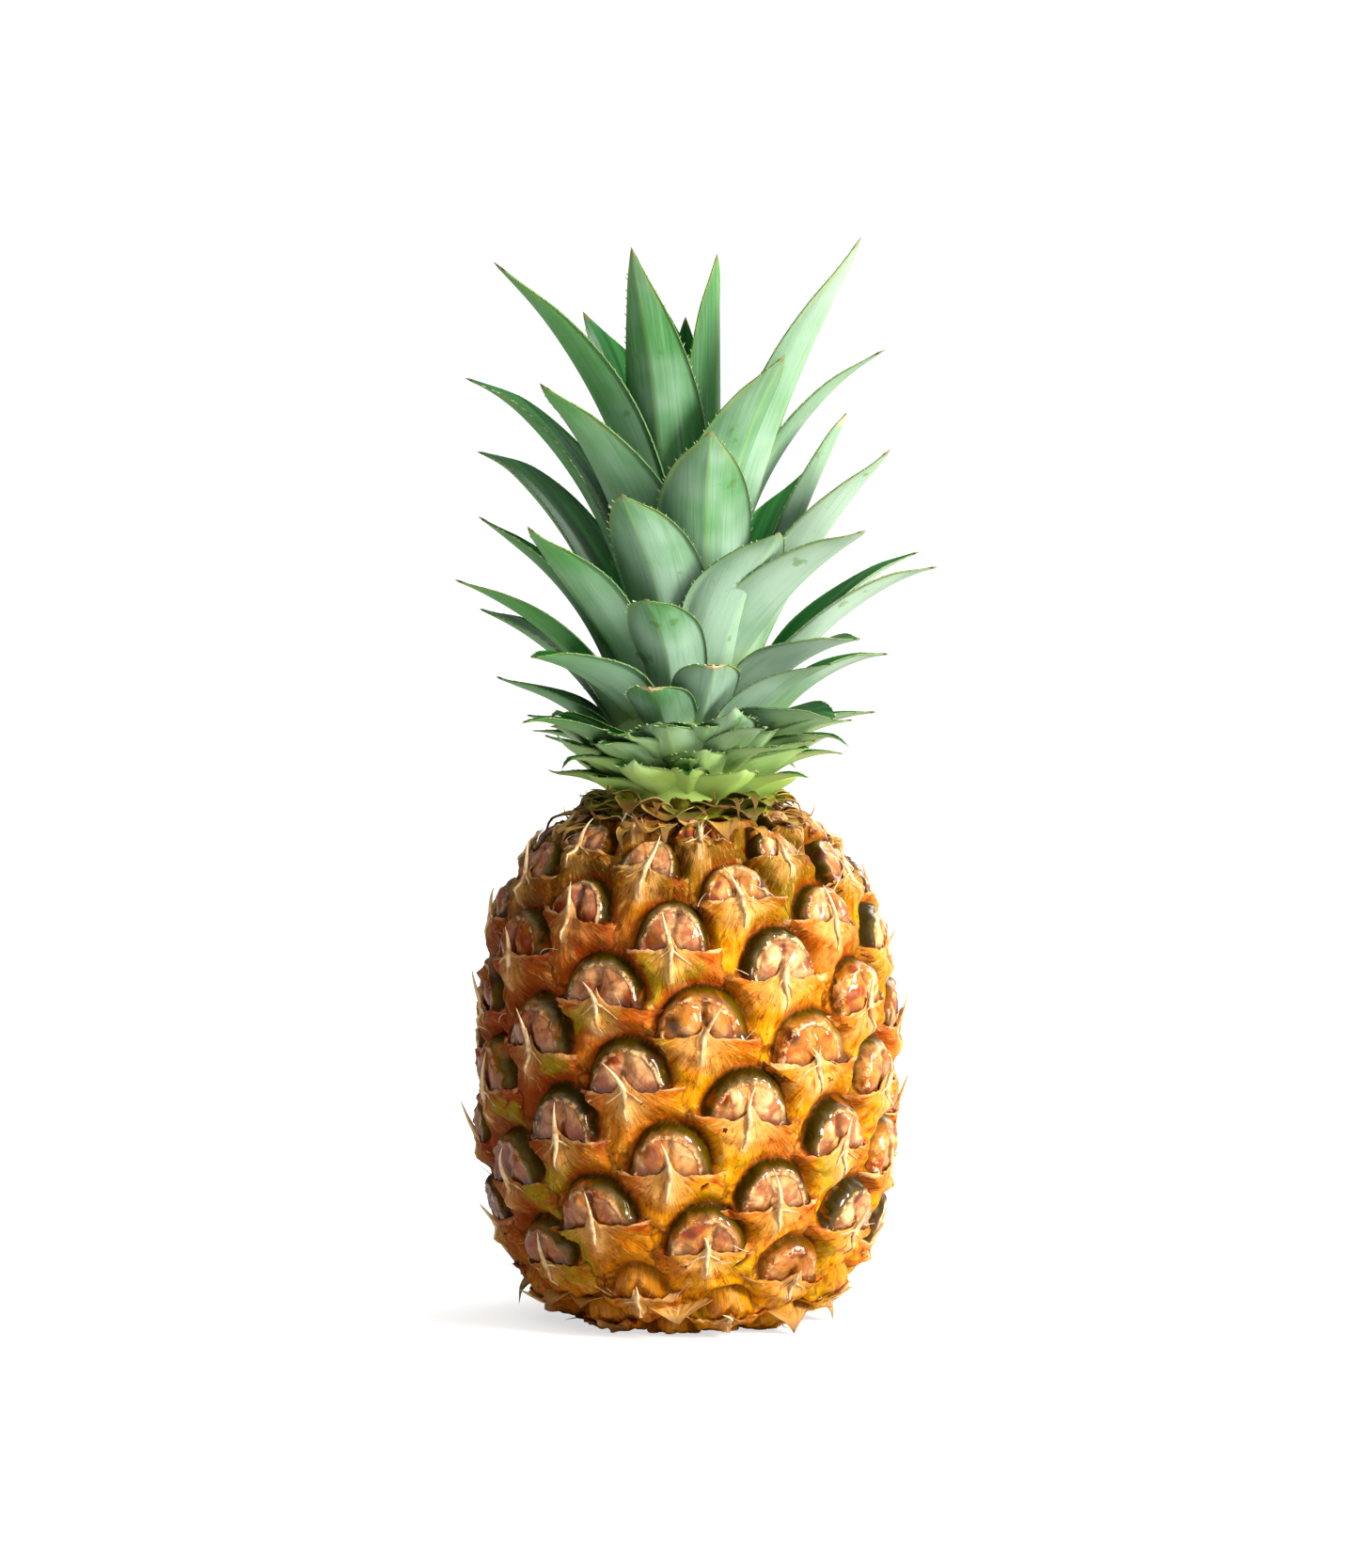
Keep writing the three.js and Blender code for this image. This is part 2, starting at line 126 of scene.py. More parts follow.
class Shader(Graph):  # the nodes of a material or of the world, and the colours they use
    def __init__(self, name, look=None, owners=bpy.data.materials, end="Principled BSDF"):
        self.owner, self.look = owners.new(name), look
        self.owner.use_nodes = True
        super().__init__(self.owner.node_tree)
        self.end = self.tree.nodes[end]

    def value(self, name):  # a number kept on the mesh
        return self.add("ShaderNodeAttribute", {"attribute_name": name}, {}, 2)

    def values(self, *names):
        return [self.value(name) for name in names]

    def place(self):
        return self.add("ShaderNodeTexCoord", {}, {}, "Object")

    def split(self, vector):
        return [self.add("ShaderNodeSeparateXYZ", {}, {0: vector}, k) for k in range(3)]

    def noise(self, scale, detail, rough, twist=0.0):
        return self.noiseAt(self.place(), scale, detail, rough, twist)

    def noiseAt(self, where, scale, detail, rough, twist=0.0):
        inputs = {"Vector": where, "Scale": scale, "Detail": detail, "Roughness": rough}
        return self.add("ShaderNodeTexNoise", {}, {**inputs, "Distortion": twist})

    def grain(self, x, y, z, detail, rough, twist=0.0):  # noise drawn out along a surface
        where = self.add("ShaderNodeCombineXYZ", {}, {0: x, 1: y, 2: z})
        return self.noiseAt(where, 1.0, detail, rough, twist)

    def blend(self, share, first, second):
        inputs = {0: share, 6: first, 7: second}
        return self.add("ShaderNodeMix", {"data_type": "RGBA"}, inputs, 2)

    def layers(self, shade, *layers):  # colours laid over each other, each by its share
        shade = colour(self.look[shade]) if isinstance(shade, str) else shade
        for share, name in layers:
            shade = self.blend(share, shade, colour(self.look[name]))
        return shade

    def bump(self, height, strength, distance):
        inputs = {"Height": height, "Strength": strength, "Distance": distance}
        return self.add("ShaderNodeBump", {}, inputs)

    def finish(self, **inputs):
        for name, value in inputs.items():
            self.feed(self.end.inputs[name.replace("_", " ")], value)
        return self.owner


def colour(code):  # linear red, green and blue of a hex colour
    parts = [int(code[k:k + 2], 16) / 255 for k in (0, 2, 4)]
    return tuple(p / 12.92 if p <= 0.04045 else ((p + 0.055) / 1.055) ** 2.4 for p in parts)


lamps = {  # place, aim and size in metres, power in watts
    "key": {
        "place": (1.05, -0.75, 0.62), "aim": (0, 0, 0.14), "size": (0.36, 0.5),
        "power": 32, "tint": (1, 0.95, 0.86),
    },
    "edge": {
        "place": (0.7, 0.8, 0.7), "aim": (0, 0, 0.17), "size": (0.6, 0.8),
        "power": 7, "tint": (1, 1, 1),
    },
}
room = {
    "white": 1.08, "low": 0.01, "side": 0.66, "zenith": 0.78, "wall": 0.18,  # brightness
    "sideWay": (0.78, -0.42, 0.46), "colour": (1.0, 0.975, 0.93),
    "floor": 0.60, "floorGlow": 0.64,
    "floorReach": 6, "floorHeight": -0.0002,  # metres
}


def makeLight(name, lamp):
    data = bpy.data.lights.new(name, "AREA")
    data.shape = "RECTANGLE"
    data.size, data.size_y = lamp["size"]
    data.energy, data.color = lamp["power"], lamp["tint"]
    light = placed(name, data)
    light.location = lamp["place"]
    aim = Vector(lamp["aim"]) - Vector(lamp["place"])
    light.rotation_euler = aim.to_track_quat("-Z", "Y").to_euler()


def makeRoom():  # a studio with a bright side, a bright ceiling and a white back wall
    graph = Shader("room", None, bpy.data.worlds, "Background")
    x, y, z = graph.split(graph.add("ShaderNodeTexCoord", {}, {}, "Generated"))
    right, back, above = room["sideWay"]
    glow = (x * right + y * back + z * above).stretch(0.1, 0.95) * room["side"]
    ceiling = z.stretch(0.25, 0.8) * room["zenith"]
    wall = y.stretch(0.80, 0.95) * room["wall"]
    seen = graph.add("ShaderNodeLightPath", {}, {}, "Is Camera Ray")
    light = (glow + ceiling + wall + room["low"]) * (1 - seen) + seen * room["white"]
    tint = graph.blend(seen, room["colour"], (1, 1, 1))
    bpy.context.scene.world = graph.finish(Color=tint, Strength=light)
    bpy.context.scene.view_settings.view_transform = "Standard"
    for name, lamp in lamps.items():
        makeLight(name, lamp)


makeRoom()
print("lights are set")


def jitter(number, salt):  # a repeatable random number from -1 to 1
    wave = np.sin(np.asarray(number, dtype=float) * 127.1 + salt * 311.7) * 43758.5453
    return 2 * (wave - np.floor(wave)) - 1


def smooth(x, low, high):
    t = np.clip((x - low) / (high - low), 0, 1)
    return t * t * (3 - 2 * t)


def lerp(a, b, t):
    return a + (b - a) * t


def unit(vector):
    return vector / np.linalg.norm(vector)


def ripple(points, wavelength, salt):  # soft waves through space, about -1 to 1
    total, count, rate = np.zeros(len(points)), 5, 2 * math.pi / wavelength
    for k in range(count):
        heading = unit(np.array([jitter(k, salt), jitter(k, salt + 1), jitter(k, salt + 2)]))
        total += np.sin(points @ heading * rate * (1 + 0.3 * k) + 6.3 * jitter(k, salt + 3))
    return total / count ** 0.5


def keepValues(mesh, values):  # numbers kept on the mesh
    for key, numbers in values.items():
        layer = mesh.attributes.new(key, "FLOAT", "POINT")
        layer.data.foreach_set("value", np.asarray(numbers, dtype=np.float32))


def asPiece(name, mesh):
    mesh.polygons.foreach_set("use_smooth", [True] * len(mesh.polygons))
    mesh.update()
    piece = placed(name, mesh)
    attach(piece, "root")
    print(name, "has", len(mesh.loops) - 2 * len(mesh.polygons), "triangles")
    return piece


def makePiece(name, points, faces, material, values):
    mesh = bpy.data.meshes.new(name)
    mesh.from_pydata((np.asarray(points) * mm).tolist(), [], faces)
    keepValues(mesh, values)
    mesh.materials.append(material)
    return asPiece(name, mesh)


class Bundle:  # grids gathered into one mesh
    def __init__(self):
        self.points, self.faces, self.values, self.count = [], [], {}, 0

    def addPoints(self, points, values):
        start, shape = self.count, points.shape[:-1]
        self.points.append(points.reshape(-1, 3))
        self.count += len(self.points[-1])
        for key, numbers in values.items():
            spread = np.broadcast_to(numbers, shape).reshape(-1)
            self.values.setdefault(key, []).append(spread)
        return start

    def addFace(self, corners, flip=False):
        self.faces.append(corners[::-1] if flip else corners)

    def addDisc(self, start, sides, flip=False):
        self.addFace(list(range(start, start + sides)), flip)

    def addGrid(self, points, values, closed=False, flip=False):  # points[row][column]
        rows, columns = points.shape[:2]
        start = self.addPoints(points, values)
        for r in range(rows - 1):
            for c in range(columns if closed else columns - 1):
                a, b = start + r * columns + c, start + r * columns + (c + 1) % columns
                self.addFace([a, b, b + columns, a + columns], flip)
        return start

    def piece(self, name, material, slot):
        values = {key: np.concatenate(parts) for key, parts in self.values.items()}
        return makePiece(name, np.concatenate(self.points), self.faces, material, values)


def turnedRings(profile, sides, swell=(), rise=()):  # points of a solid turned about the axis
    angle = np.linspace(0, 2 * math.pi, sides, endpoint=False)
    radius, height = (np.array(column)[:, None] for column in zip(*profile))
    radius = radius * (1 + sum(size * np.sin(angle * waves) for size, waves in swell))
    height = height + 0 * angle + sum(size * np.sin(angle * waves) for size, waves in rise)
    return np.stack([radius * np.sin(angle), -radius * np.cos(angle), height], -1)


barrel = {
    "radius": 57.8, "girth": 72, "topReach": 76, "baseReach": 75, "squareness": 2.8,
    "crownSeat": (17, 143.5),  # radius and height of the flat under the crown
}
eyes = {
    "divergence": 137.66,  # degrees from one eye to the next one up
    "firstAzimuth": 5.3,
    "firstHeight": 88,
    "rise": 1.85,
    "shrink": 0.5,
    "lowestRadius": 21,
    "highestRadius": 25,
    "margin": 1,  # eyes without a bract of their own at each end
    "steps": 30,  # mesh steps along each side of an eye's cell
}
dome = {
    "halfWidth": 12.6, "height": 15.4, "ridge": 3.0, "ridgeAt": 0.26, "floor": 1.9,
    "groove": -2.1,
}
bract = {"wing": 15.2, "fall": 19.0, "lip": 3.0, "foot": -0.4}


def outlineTable():
    angle = np.linspace(-math.pi / 2, math.pi / 2, 1601)
    power = 2 / barrel["squareness"]
    radius = barrel["radius"] * np.clip(np.cos(angle), 0, 1) ** power
    reach = np.where(angle < 0, -barrel["baseReach"], barrel["topReach"])
    height = barrel["girth"] + reach * np.abs(np.sin(angle)) ** power
    radius[0] = radius[-1] = 0
    length = np.hypot(np.diff(radius), np.diff(height))
    share = np.maximum((radius[1:] + radius[:-1]) / 2 / barrel["radius"], 0.05)
    turn = np.concatenate([[0], np.cumsum(length / (eyes["rise"] * share ** eyes["shrink"]))])
    turn -= turn[np.argmax(height >= eyes["firstHeight"])]
    slope = np.stack([np.gradient(height), -np.gradient(radius)], 1)
    slope /= np.linalg.norm(slope, axis=1)[:, None]
    return turn, radius, height, slope


turnTable, radiusTable, heightTable, slopeTable = outlineTable()
lowestTurn = turnTable[np.argmax(radiusTable >= eyes["lowestRadius"])]
highestTurn = turnTable[::-1][np.argmax(radiusTable[::-1] >= eyes["highestRadius"])]


def atTurn(turn, table):
    return np.interp(turn, turnTable, table)


def family(step):  # degrees, and mm across and along at the girth, to the eye so many steps on
    degrees = (step * eyes["divergence"] + 180) % 360 - 180
    return degrees, math.radians(degrees) * barrel["radius"], step * eyes["rise"]


# rows of neighbouring eyes climb one way by 8 eyes at a step, and the other way by 13
degrees8, across8, along8 = family(8)
degrees13, across13, along13 = family(13)


def turnOf(u, v):  # whole numbers give the number of an eye
    return 8 * u + 13 * v


def skinPoint(u, v, raised):  # a place in the spiral, raised off the plain barrel
    turn = turnOf(u, v)
    radius, height = atTurn(turn, radiusTable), atTurn(turn, heightTable)
    azimuth = np.radians(eyes["firstAzimuth"] + degrees8 * u + degrees13 * v)
    raised = raised * smooth(radius, 8, 34)
    out = radius + raised * atTurn(turn, slopeTable[:, 0])
    height = np.maximum(height + raised * atTurn(turn, slopeTable[:, 1]), 0)
    return np.stack([out * np.sin(azimuth), -out * np.cos(azimuth), height], -1)


def solveShift(across, along):
    size = across8 * along13 - across13 * along8
    du = (across * along13 - along * across13) / size
    dv = (along * across8 - across * along8) / size
    return du, dv


def eyeHabit(number):  # how an eye differs from its neighbours
    return {
        "across": 1.2 * jitter(number, 21),
        "along": 0.9 * jitter(number, 22),
        "turn": math.radians(8) * jitter(number, 23),
        "width": 1 + 0.07 * jitter(number, 24),
        "height": 1 + 0.10 * jitter(number, 25),
    }


def eyeFrame(u, v, i, j):  # where a place lies from one eye, across and up from its lip
    habit = eyeHabit(turnOf(i, j))
    a = (u - i) * across8 + (v - j) * across13 - habit["across"]
    b = (u - i) * along8 + (v - j) * along13 - habit["along"]
    cosine, sine = np.cos(habit["turn"]), np.sin(habit["turn"])
    return (a * cosine + b * sine) / habit["width"], (b * cosine - a * sine) / habit["height"]


def eyeSpot(i, j, a, b):  # the place that lies so far across and up from an eye's lip
    habit = eyeHabit(turnOf(i, j))
    a, b = a * habit["width"], b * habit["height"]
    cosine, sine = np.cos(habit["turn"]), np.sin(habit["turn"])
    across, along = a * cosine - b * sine, a * sine + b * cosine
    du, dv = solveShift(across + habit["across"], along + habit["along"])
    return i + du, j + dv


def bractHeight(a, b, number):  # a fanned sheet with a keel that falls away from the lip
    t = np.clip(-b / bract["fall"], 0, 1)
    w = np.abs(a / bract["wing"])
    fan = np.arctan2(a, 3.0 - b)
    height = (bract["lip"] - 1.5 * w ** 1.6) * (1 - t ** 1.5) + bract["foot"] * t
    height += 1.1 * np.exp(-(a / (1.2 + 3.0 * t)) ** 2) * (1 - t) ** 0.8
    height += 0.50 * np.cos(7 * fan + 3 * jitter(number, 36)) * smooth(-b + 2, 0, 6) * (1 - t)
    height += 0.22 * np.cos(17 * fan + 3 * jitter(number, 37)) * smooth(-b + 2, 2, 8) * (1 - t)
    waves = np.sin(b * 0.9 + 0.5 * a * jitter(number, 38) + 3 * jitter(number, 39))
    height += 0.40 * waves * smooth(-b, 0, 3)
    height -= 2.4 * smooth(w, 0.92, 1.20)
    return np.where((b < 1.2) & (w < 1.25), height, -9), t


def lumps(x, y, middle, own):  # the halves and knobs of an eye
    plateau = dome["floor"] + 0.4 * jitter(own, 37)
    for hand in (-1, 1):  # two plump halves
        cx = middle + hand * (0.32 + 0.04 * jitter(own, 50 + hand))
        cy = 0.36 + 0.07 * jitter(own, 53 + hand)
        wide, high = 0.34 + 0.05 * jitter(own, 47 + hand), 0.38 + 0.07 * jitter(own, 56 + hand)
        bulge = np.clip(1 - np.hypot((x - cx) / wide, (y - cy) / high) ** 2, 0, 1) ** 0.9
        plateau += (1.5 + 0.8 * jitter(own, 59 + hand)) * bulge
    for k in range(4):  # small knobs above and between them
        cx = middle + (k - 1) * 0.30 * (k < 3) + 0.12 * jitter(own, 62 + k)
        cy = 0.70 - 0.10 * (k != 1) - 0.25 * (k == 3) + 0.08 * jitter(own, 65 + k)
        far = np.hypot((x - cx) / (0.13 + 0.04 * jitter(own, 68 + k)), (y - cy) / 0.11)
        plateau += (0.5 + 0.7 * jitter(own, 71 + k)) * np.clip(1 - far ** 2, 0, 1)
    crease = np.exp(-((x - middle) / 0.07) ** 2) * smooth(y, 0.95, 0.5)
    return plateau - (0.45 + 0.35 * jitter(own, 48)) * crease


def skinRelief(u, v):  # height and surface facts at places in the spiral
    count = len(u)
    ring = np.full(count, 9.0)
    ownA, ownB, own = np.zeros(count), np.zeros(count), np.zeros(count)
    sheet, second = np.full(count, -9.0), np.full(count, -9.0)
    down, across, above = np.ones(count), np.zeros(count), np.zeros(count)
    for di in range(-1, 3):
        for dj in range(-1, 3):
            i, j = np.floor(u) + di, np.floor(v) + dj
            a, b = eyeFrame(u, v, i, j)
            number = turnOf(i, j)
            shrink = 1 - 0.35 * smooth(-atTurn(number, heightTable), -22, -13)
            up = np.where(b > 0, b / (dome["height"] * shrink), b / 4.5)
            wide = dome["halfWidth"] * np.sqrt(shrink)
            here = (np.abs(a / wide) ** 2.15 + np.abs(up) ** 2) ** 0.5
            nearer = here < ring
            ring = np.where(nearer, here, ring)
            ownA, ownB = np.where(nearer, a, ownA), np.where(nearer, b, ownB)
            own = np.where(nearer, number, own)
            height, t = bractHeight(a, b, number)
            higher = height > sheet
            second = np.where(higher, sheet, np.maximum(second, height))
            sheet = np.where(higher, height, sheet)
            down, across = np.where(higher, t, down), np.where(higher, a, across)
            above = np.where(higher, number, above)
    seamShade = np.exp(-(sheet - second) / 0.16)  # where one bract gives way to the next, darkened there as painted shade
    sheet = np.maximum(sheet, bract["foot"])
    outer = np.clip(ring - 1, 0, 9)
    # painted shade in the groove round each dome, spreading onto the bract above it
    grooveShade = np.exp(-outer / 0.12)
    outside = lerp(sheet, dome["groove"], np.exp(-(outer / 0.19) ** 2) * smooth(ownB, -1, 4))
    x, y = ownA / dome["halfWidth"], np.clip(ownB / dome["height"], 0, 1.1)
    depth = 1 - ring
    ridgeAt = dome["ridgeAt"] + 0.05 * jitter(own, 40)
    middle = 0.10 * jitter(own, 31) + 0.07 * np.sin(5 * y + 3 * jitter(own, 32))
    climb = np.sin(np.clip(depth / ridgeAt, 0, 1) * math.pi / 2)
    wrinkles = np.sin(11 * np.arctan2(x, y + 0.05) + 5 * jitter(own, 43) + 5 * ring)
    wrinkles = wrinkles * smooth(y, 0.05, 0.4)
    lowness = smooth(-atTurn(own, heightTable), -22, -12)  # near the base eyes are only bulges
    crest = dome["ridge"] - 0.6 * (1 - y) + 0.24 * wrinkles * (1 - 0.7 * lowness) - 1.0 * lowness
    inside = lerp(lerp(sheet, dome["groove"], smooth(ownB, -1, 4)), crest, climb)
    plateau = lumps(x, y, middle, own) + 0.22 * wrinkles * smooth(ring, 0.45, 0.7)
    inside = lerp(inside, plateau, smooth(depth, ridgeAt * 0.98, ridgeAt + 0.13))
    isDome = ring < 1
    plain = 1 - 0.88 * lowness
    low = isDome * smooth(lowness, 0.2, 0.6)
    side = np.sign(jitter(own, 44))
    spotX, spotY = (x - 0.62 * side) / 0.15, (y - 0.42 - 0.2 * jitter(own, 45)) / 0.17
    facts = {
        "dome": smooth(depth, -0.02, 0.02) * plain,
        "ring": ring,
        "up": y * isDome,
        "side": x * isDome,
        "middle": middle * isDome,
        "grooveShade": np.where(isDome, 1, grooveShade) * plain,
        "down": lerp(down, 0.75 - 0.45 * y, low),
        "across": lerp(across, x * 0.8 * bract["wing"], low) / bract["wing"],
        "tone": np.where(isDome, jitter(own, 41), jitter(above, 42)),
        # painted shade on the dome just above the bract's lip, where the lip hangs over it
        "shade": smooth(2.8 - ownB, 0, 3) * isDome,
        "seamShade": np.where(isDome, 0, seamShade),
        "blot": np.exp(-(spotX ** 2 + spotY ** 2) ** 2) * (isDome * (jitter(own, 46) > 0.25)),
        "lump": (plateau - dome["floor"]) * isDome,
    }
    return np.where(isDome, inside, outside), facts


def allEyes():
    low, high = lowestTurn + eyes["margin"], highestTurn - eyes["margin"]
    found = []
    for i in range(13):
        first, last = math.ceil((low - 8 * i) / 13), math.floor((high - 8 * i) / 13)
        found += [(i, j) for j in range(first, last + 1)]
    return found


# crease is painted shade; rust, soil and olive are also used as painted shade in seams, grooves
# and hollows
rindLook = {
    "cream": "e8b074", "pink": "bc7a4e", "honey": "c88008", "olive": "302400", "moss": "5c4600",
    "red": "8a1c02", "crease": "4a1600", "peach": "d87a28", "amber": "c86202", "yellow": "e69c02",
    "rustAndShade": "9c3400", "pale": "fdca8e", "straw": "f8bc66", "green": "969408", "soilAndShade": "341200",
    "bark": "701a00", "plum": "3c120a",
}


def bractColour(graph, down, across, tone):
    right, drop = across * bract["wing"], down * bract["fall"]
    fan = graph.maths("ARCTAN2", right, drop + 2.5)
    reach = graph.maths("SQRT", right * right + drop * drop)
    streaks = graph.grain(fan * 6, reach * 0.14, tone * 9, 4, 0.65)
    threads = graph.grain(fan * 22, reach * 0.22, tone * 5, 3, 0.7)
    patches = graph.noise(95, 4, 0.6, twist=0.7)
    broad = graph.noise(26, 2, 0.5)
    fine = graph.noise(480, 4, 0.65)
    x, y, z = graph.split(graph.place())
    # ripe also darkens the side away from the key light with the bark brown: partly riper colour,
    # partly painted shade
    ripe = (x - y * 0.35 + (broad - 0.5) * 0.05).stretch(-0.045, 0.040)  # riper and yellower towards the key light, partly painted light
    yellowness = (patches * 0.6 + broad * 0.5 + down * 0.25 + tone * 0.12).stretch(0.52, 0.80)
    foot = (z + (broad - 0.5) * 0.02).stretch(0.034, 0.006)
    greenness = (graph.noise(40, 2, 0.5) + foot * 0.02).stretch(0.57, 0.66)
    shoulder = (z + (broad - 0.5) * 0.03).stretch(0.110, 0.138)
    heart = (reach * 0.05 + patches * 0.9 + abs(across) * 0.25).stretch(1.10, 0.52)
    shade = graph.layers(
        "peach",
        (patches.stretch(0.40, 0.60), "amber"),
        (yellowness * (ripe * 0.75 + 0.20), "yellow"),
        # bark brown away from the key light: partly riper colour, partly painted shade
        ((1 - ripe) * 0.84, "bark"),
        (foot * 0.4, "yellow"),
        (greenness * (0.6 - foot * 0.35), "green"),
        (foot * patches.stretch(0.52, 0.40) * 0.55, "rustAndShade"),
        (shoulder * 0.80, "moss"),
        (heart * (ripe * 0.52 + 0.32), "straw"),
        (streaks.stretch(0.54, 0.70) * (ripe * 0.4 + 0.25), "straw"),
        (streaks.stretch(0.48, 0.31) * 0.78, "rustAndShade"),
        (threads.stretch(0.58, 0.70) * 0.52, "straw"),
        (threads.stretch(0.42, 0.30) * 0.45, "soilAndShade"),
        (fine.stretch(0.58, 0.70) * 0.5, "soilAndShade"),
    )
    return shade, streaks + threads * 0.6 + patches * 0.7 + fine * 0.35, fine, patches, ripe


def rindMaterial():
    graph = Shader("rind", rindLook)
    ring, up, side, tone = graph.values("ring", "up", "side", "tone")
    down, across, isDome = graph.values("down", "across", "dome")
    sheet, grain, fine, patches, ripe = bractColour(graph, down, across, tone)
    mottle = graph.noise(150, 3, 0.5, twist=0.8)
    spots = graph.noise(95, 1, 0.4)
    wander = (graph.noise(210, 4, 0.65) - 0.5) * 0.24
    domeFan = graph.maths("ARCTAN2", side, up + 0.05)
    folds = graph.grain(domeFan * 2.6, ring * 3.4, tone * 11, 3, 0.55, twist=0.5)
    lump = graph.value("lump").stretch(0.9, 2.6)
    corner = (abs(side) - up * 0.7).stretch(0.35, 0.65) * patches.stretch(0.46, 0.62)
    line = abs(side - graph.value("middle") + wander * 0.4)
    # painted shade along the centre crease of each dome
    crease = line.stretch(0.10, 0.01) * up.stretch(0.95, 0.5)
    flesh = graph.layers(
        "pink",
        ((mottle * 0.6 + folds * 0.5).stretch(0.46, 0.62), "cream"),
        ((patches + tone * 0.15).stretch(0.42, 0.62) * 0.85, "honey"),
        # painted shade in the valleys of the folds
        (folds.stretch(0.42, 0.28) * 0.4, "crease"),
        # darker red-brown in the hollows between the lumps, partly painted shade
        ((1 - lump) * mottle.stretch(0.60, 0.40) * 0.38, "rustAndShade"),
        (mottle.stretch(0.42, 0.30) * 0.35, "rustAndShade"),
        ((mottle + lump * 0.12).stretch(0.58, 0.74) * 0.85, "pale"),
        (spots.stretch(0.63, 0.69) * 0.8, "red"),
        (corner * 0.75, "red"),
        # bark brown away from the key light: partly riper colour, partly painted shade
        ((1 - ripe) * 0.68, "bark"),
        # painted shade along the centre crease
        (crease * mottle.stretch(0.62, 0.42) * 0.8, "crease"),
    )
    # the dark olive band round each dome: the rind's own olive, deepened by painted shade where
    # the dome falls into the groove
    oliveBandAndShade = graph.layers(
        "olive",
        ((ring + wander - tone * 0.09).stretch(0.98, 0.74), "moss"),
        (patches.stretch(0.56, 0.70) * 0.45, "amber"),
    )
    skew = side * (tone * 0.16 + 0.03)  # the dark arc is thicker on one side
    band = (ring + wander - tone * 0.08 + skew).stretch(0.66, 0.86)
    flesh = graph.layers(
        graph.blend(band, flesh, oliveBandAndShade),
        # painted shade under the bract's lip, in the crease colour
        (graph.value("shade") * 0.8, "crease"),
        (graph.value("blot") * 0.85, "plum"),
    )
    seamShade = (graph.value("seamShade") + wander).stretch(0.25, 1.0)
    grooveShade = graph.value("grooveShade") * patches.stretch(0.36, 0.62, 0.55, 1.0) + wander * 0.6
    sheet = graph.layers(
        sheet,
        # painted shade in the seams where one bract tucks under the next
        (seamShade * 0.55, "rustAndShade"),
        (seamShade * fine.stretch(0.62, 0.42) * 0.6, "soilAndShade"),
        # dark red-brown and olive painted shade in the groove round each dome
        (grooveShade.stretch(0.10, 0.50) * 0.65, "rustAndShade"),
        (grooveShade.stretch(0.32, 0.95) * 0.82, "olive"),
    )
    inside = ring + wander * 0.4 + skew
    # pale dashes along the ridge of each dome: partly pale sepal edges, partly painted highlight,
    # stronger on the lit side
    beads = inside.stretch(0.66, 0.71) * inside.stretch(0.80, 0.73) * isDome
    ridgeGlintShare = beads * fine.stretch(0.48, 0.56) * (ripe * 0.45 + 0.35)
    whole = graph.layers(graph.blend(isDome, sheet, flesh), (ridgeGlintShare, "pale"))
    bumps = mottle * 1.3 + fine * 0.35 + folds * 0.5 - crease * 0.4 + beads * fine
    height = grain * (1 - isDome) + bumps * isDome
    return graph.finish(
        Base_Color=whole,
        Roughness=0.44 - isDome * 0.16 + mottle.stretch(0.4, 0.7) * 0.14,
        Coat_Weight=isDome * (ring + wander).stretch(0.92, 0.76) * 0.85 + 0.03,
        Coat_Roughness=0.08,
        Normal=graph.bump(height, 0.85, 0.0010),
        Specular_IOR_Level=0.05,
    )


def edgeLoops(faces):  # open edges, each followed round
    seen = {}
    for f in faces:
        for a, b in zip(f, f[1:] + f[:1]):
            if (b, a) in seen:
                del seen[(b, a)]
            else:
                seen[(a, b)] = True
    following = {b: a for a, b in seen}
    loops = []
    while following:
        start, here = next(iter(following.items()))
        loop = [start]
        del following[start]
        while here != start:
            loop.append(here)
            here = following.pop(here)
        loops.append(loop)
    return loops


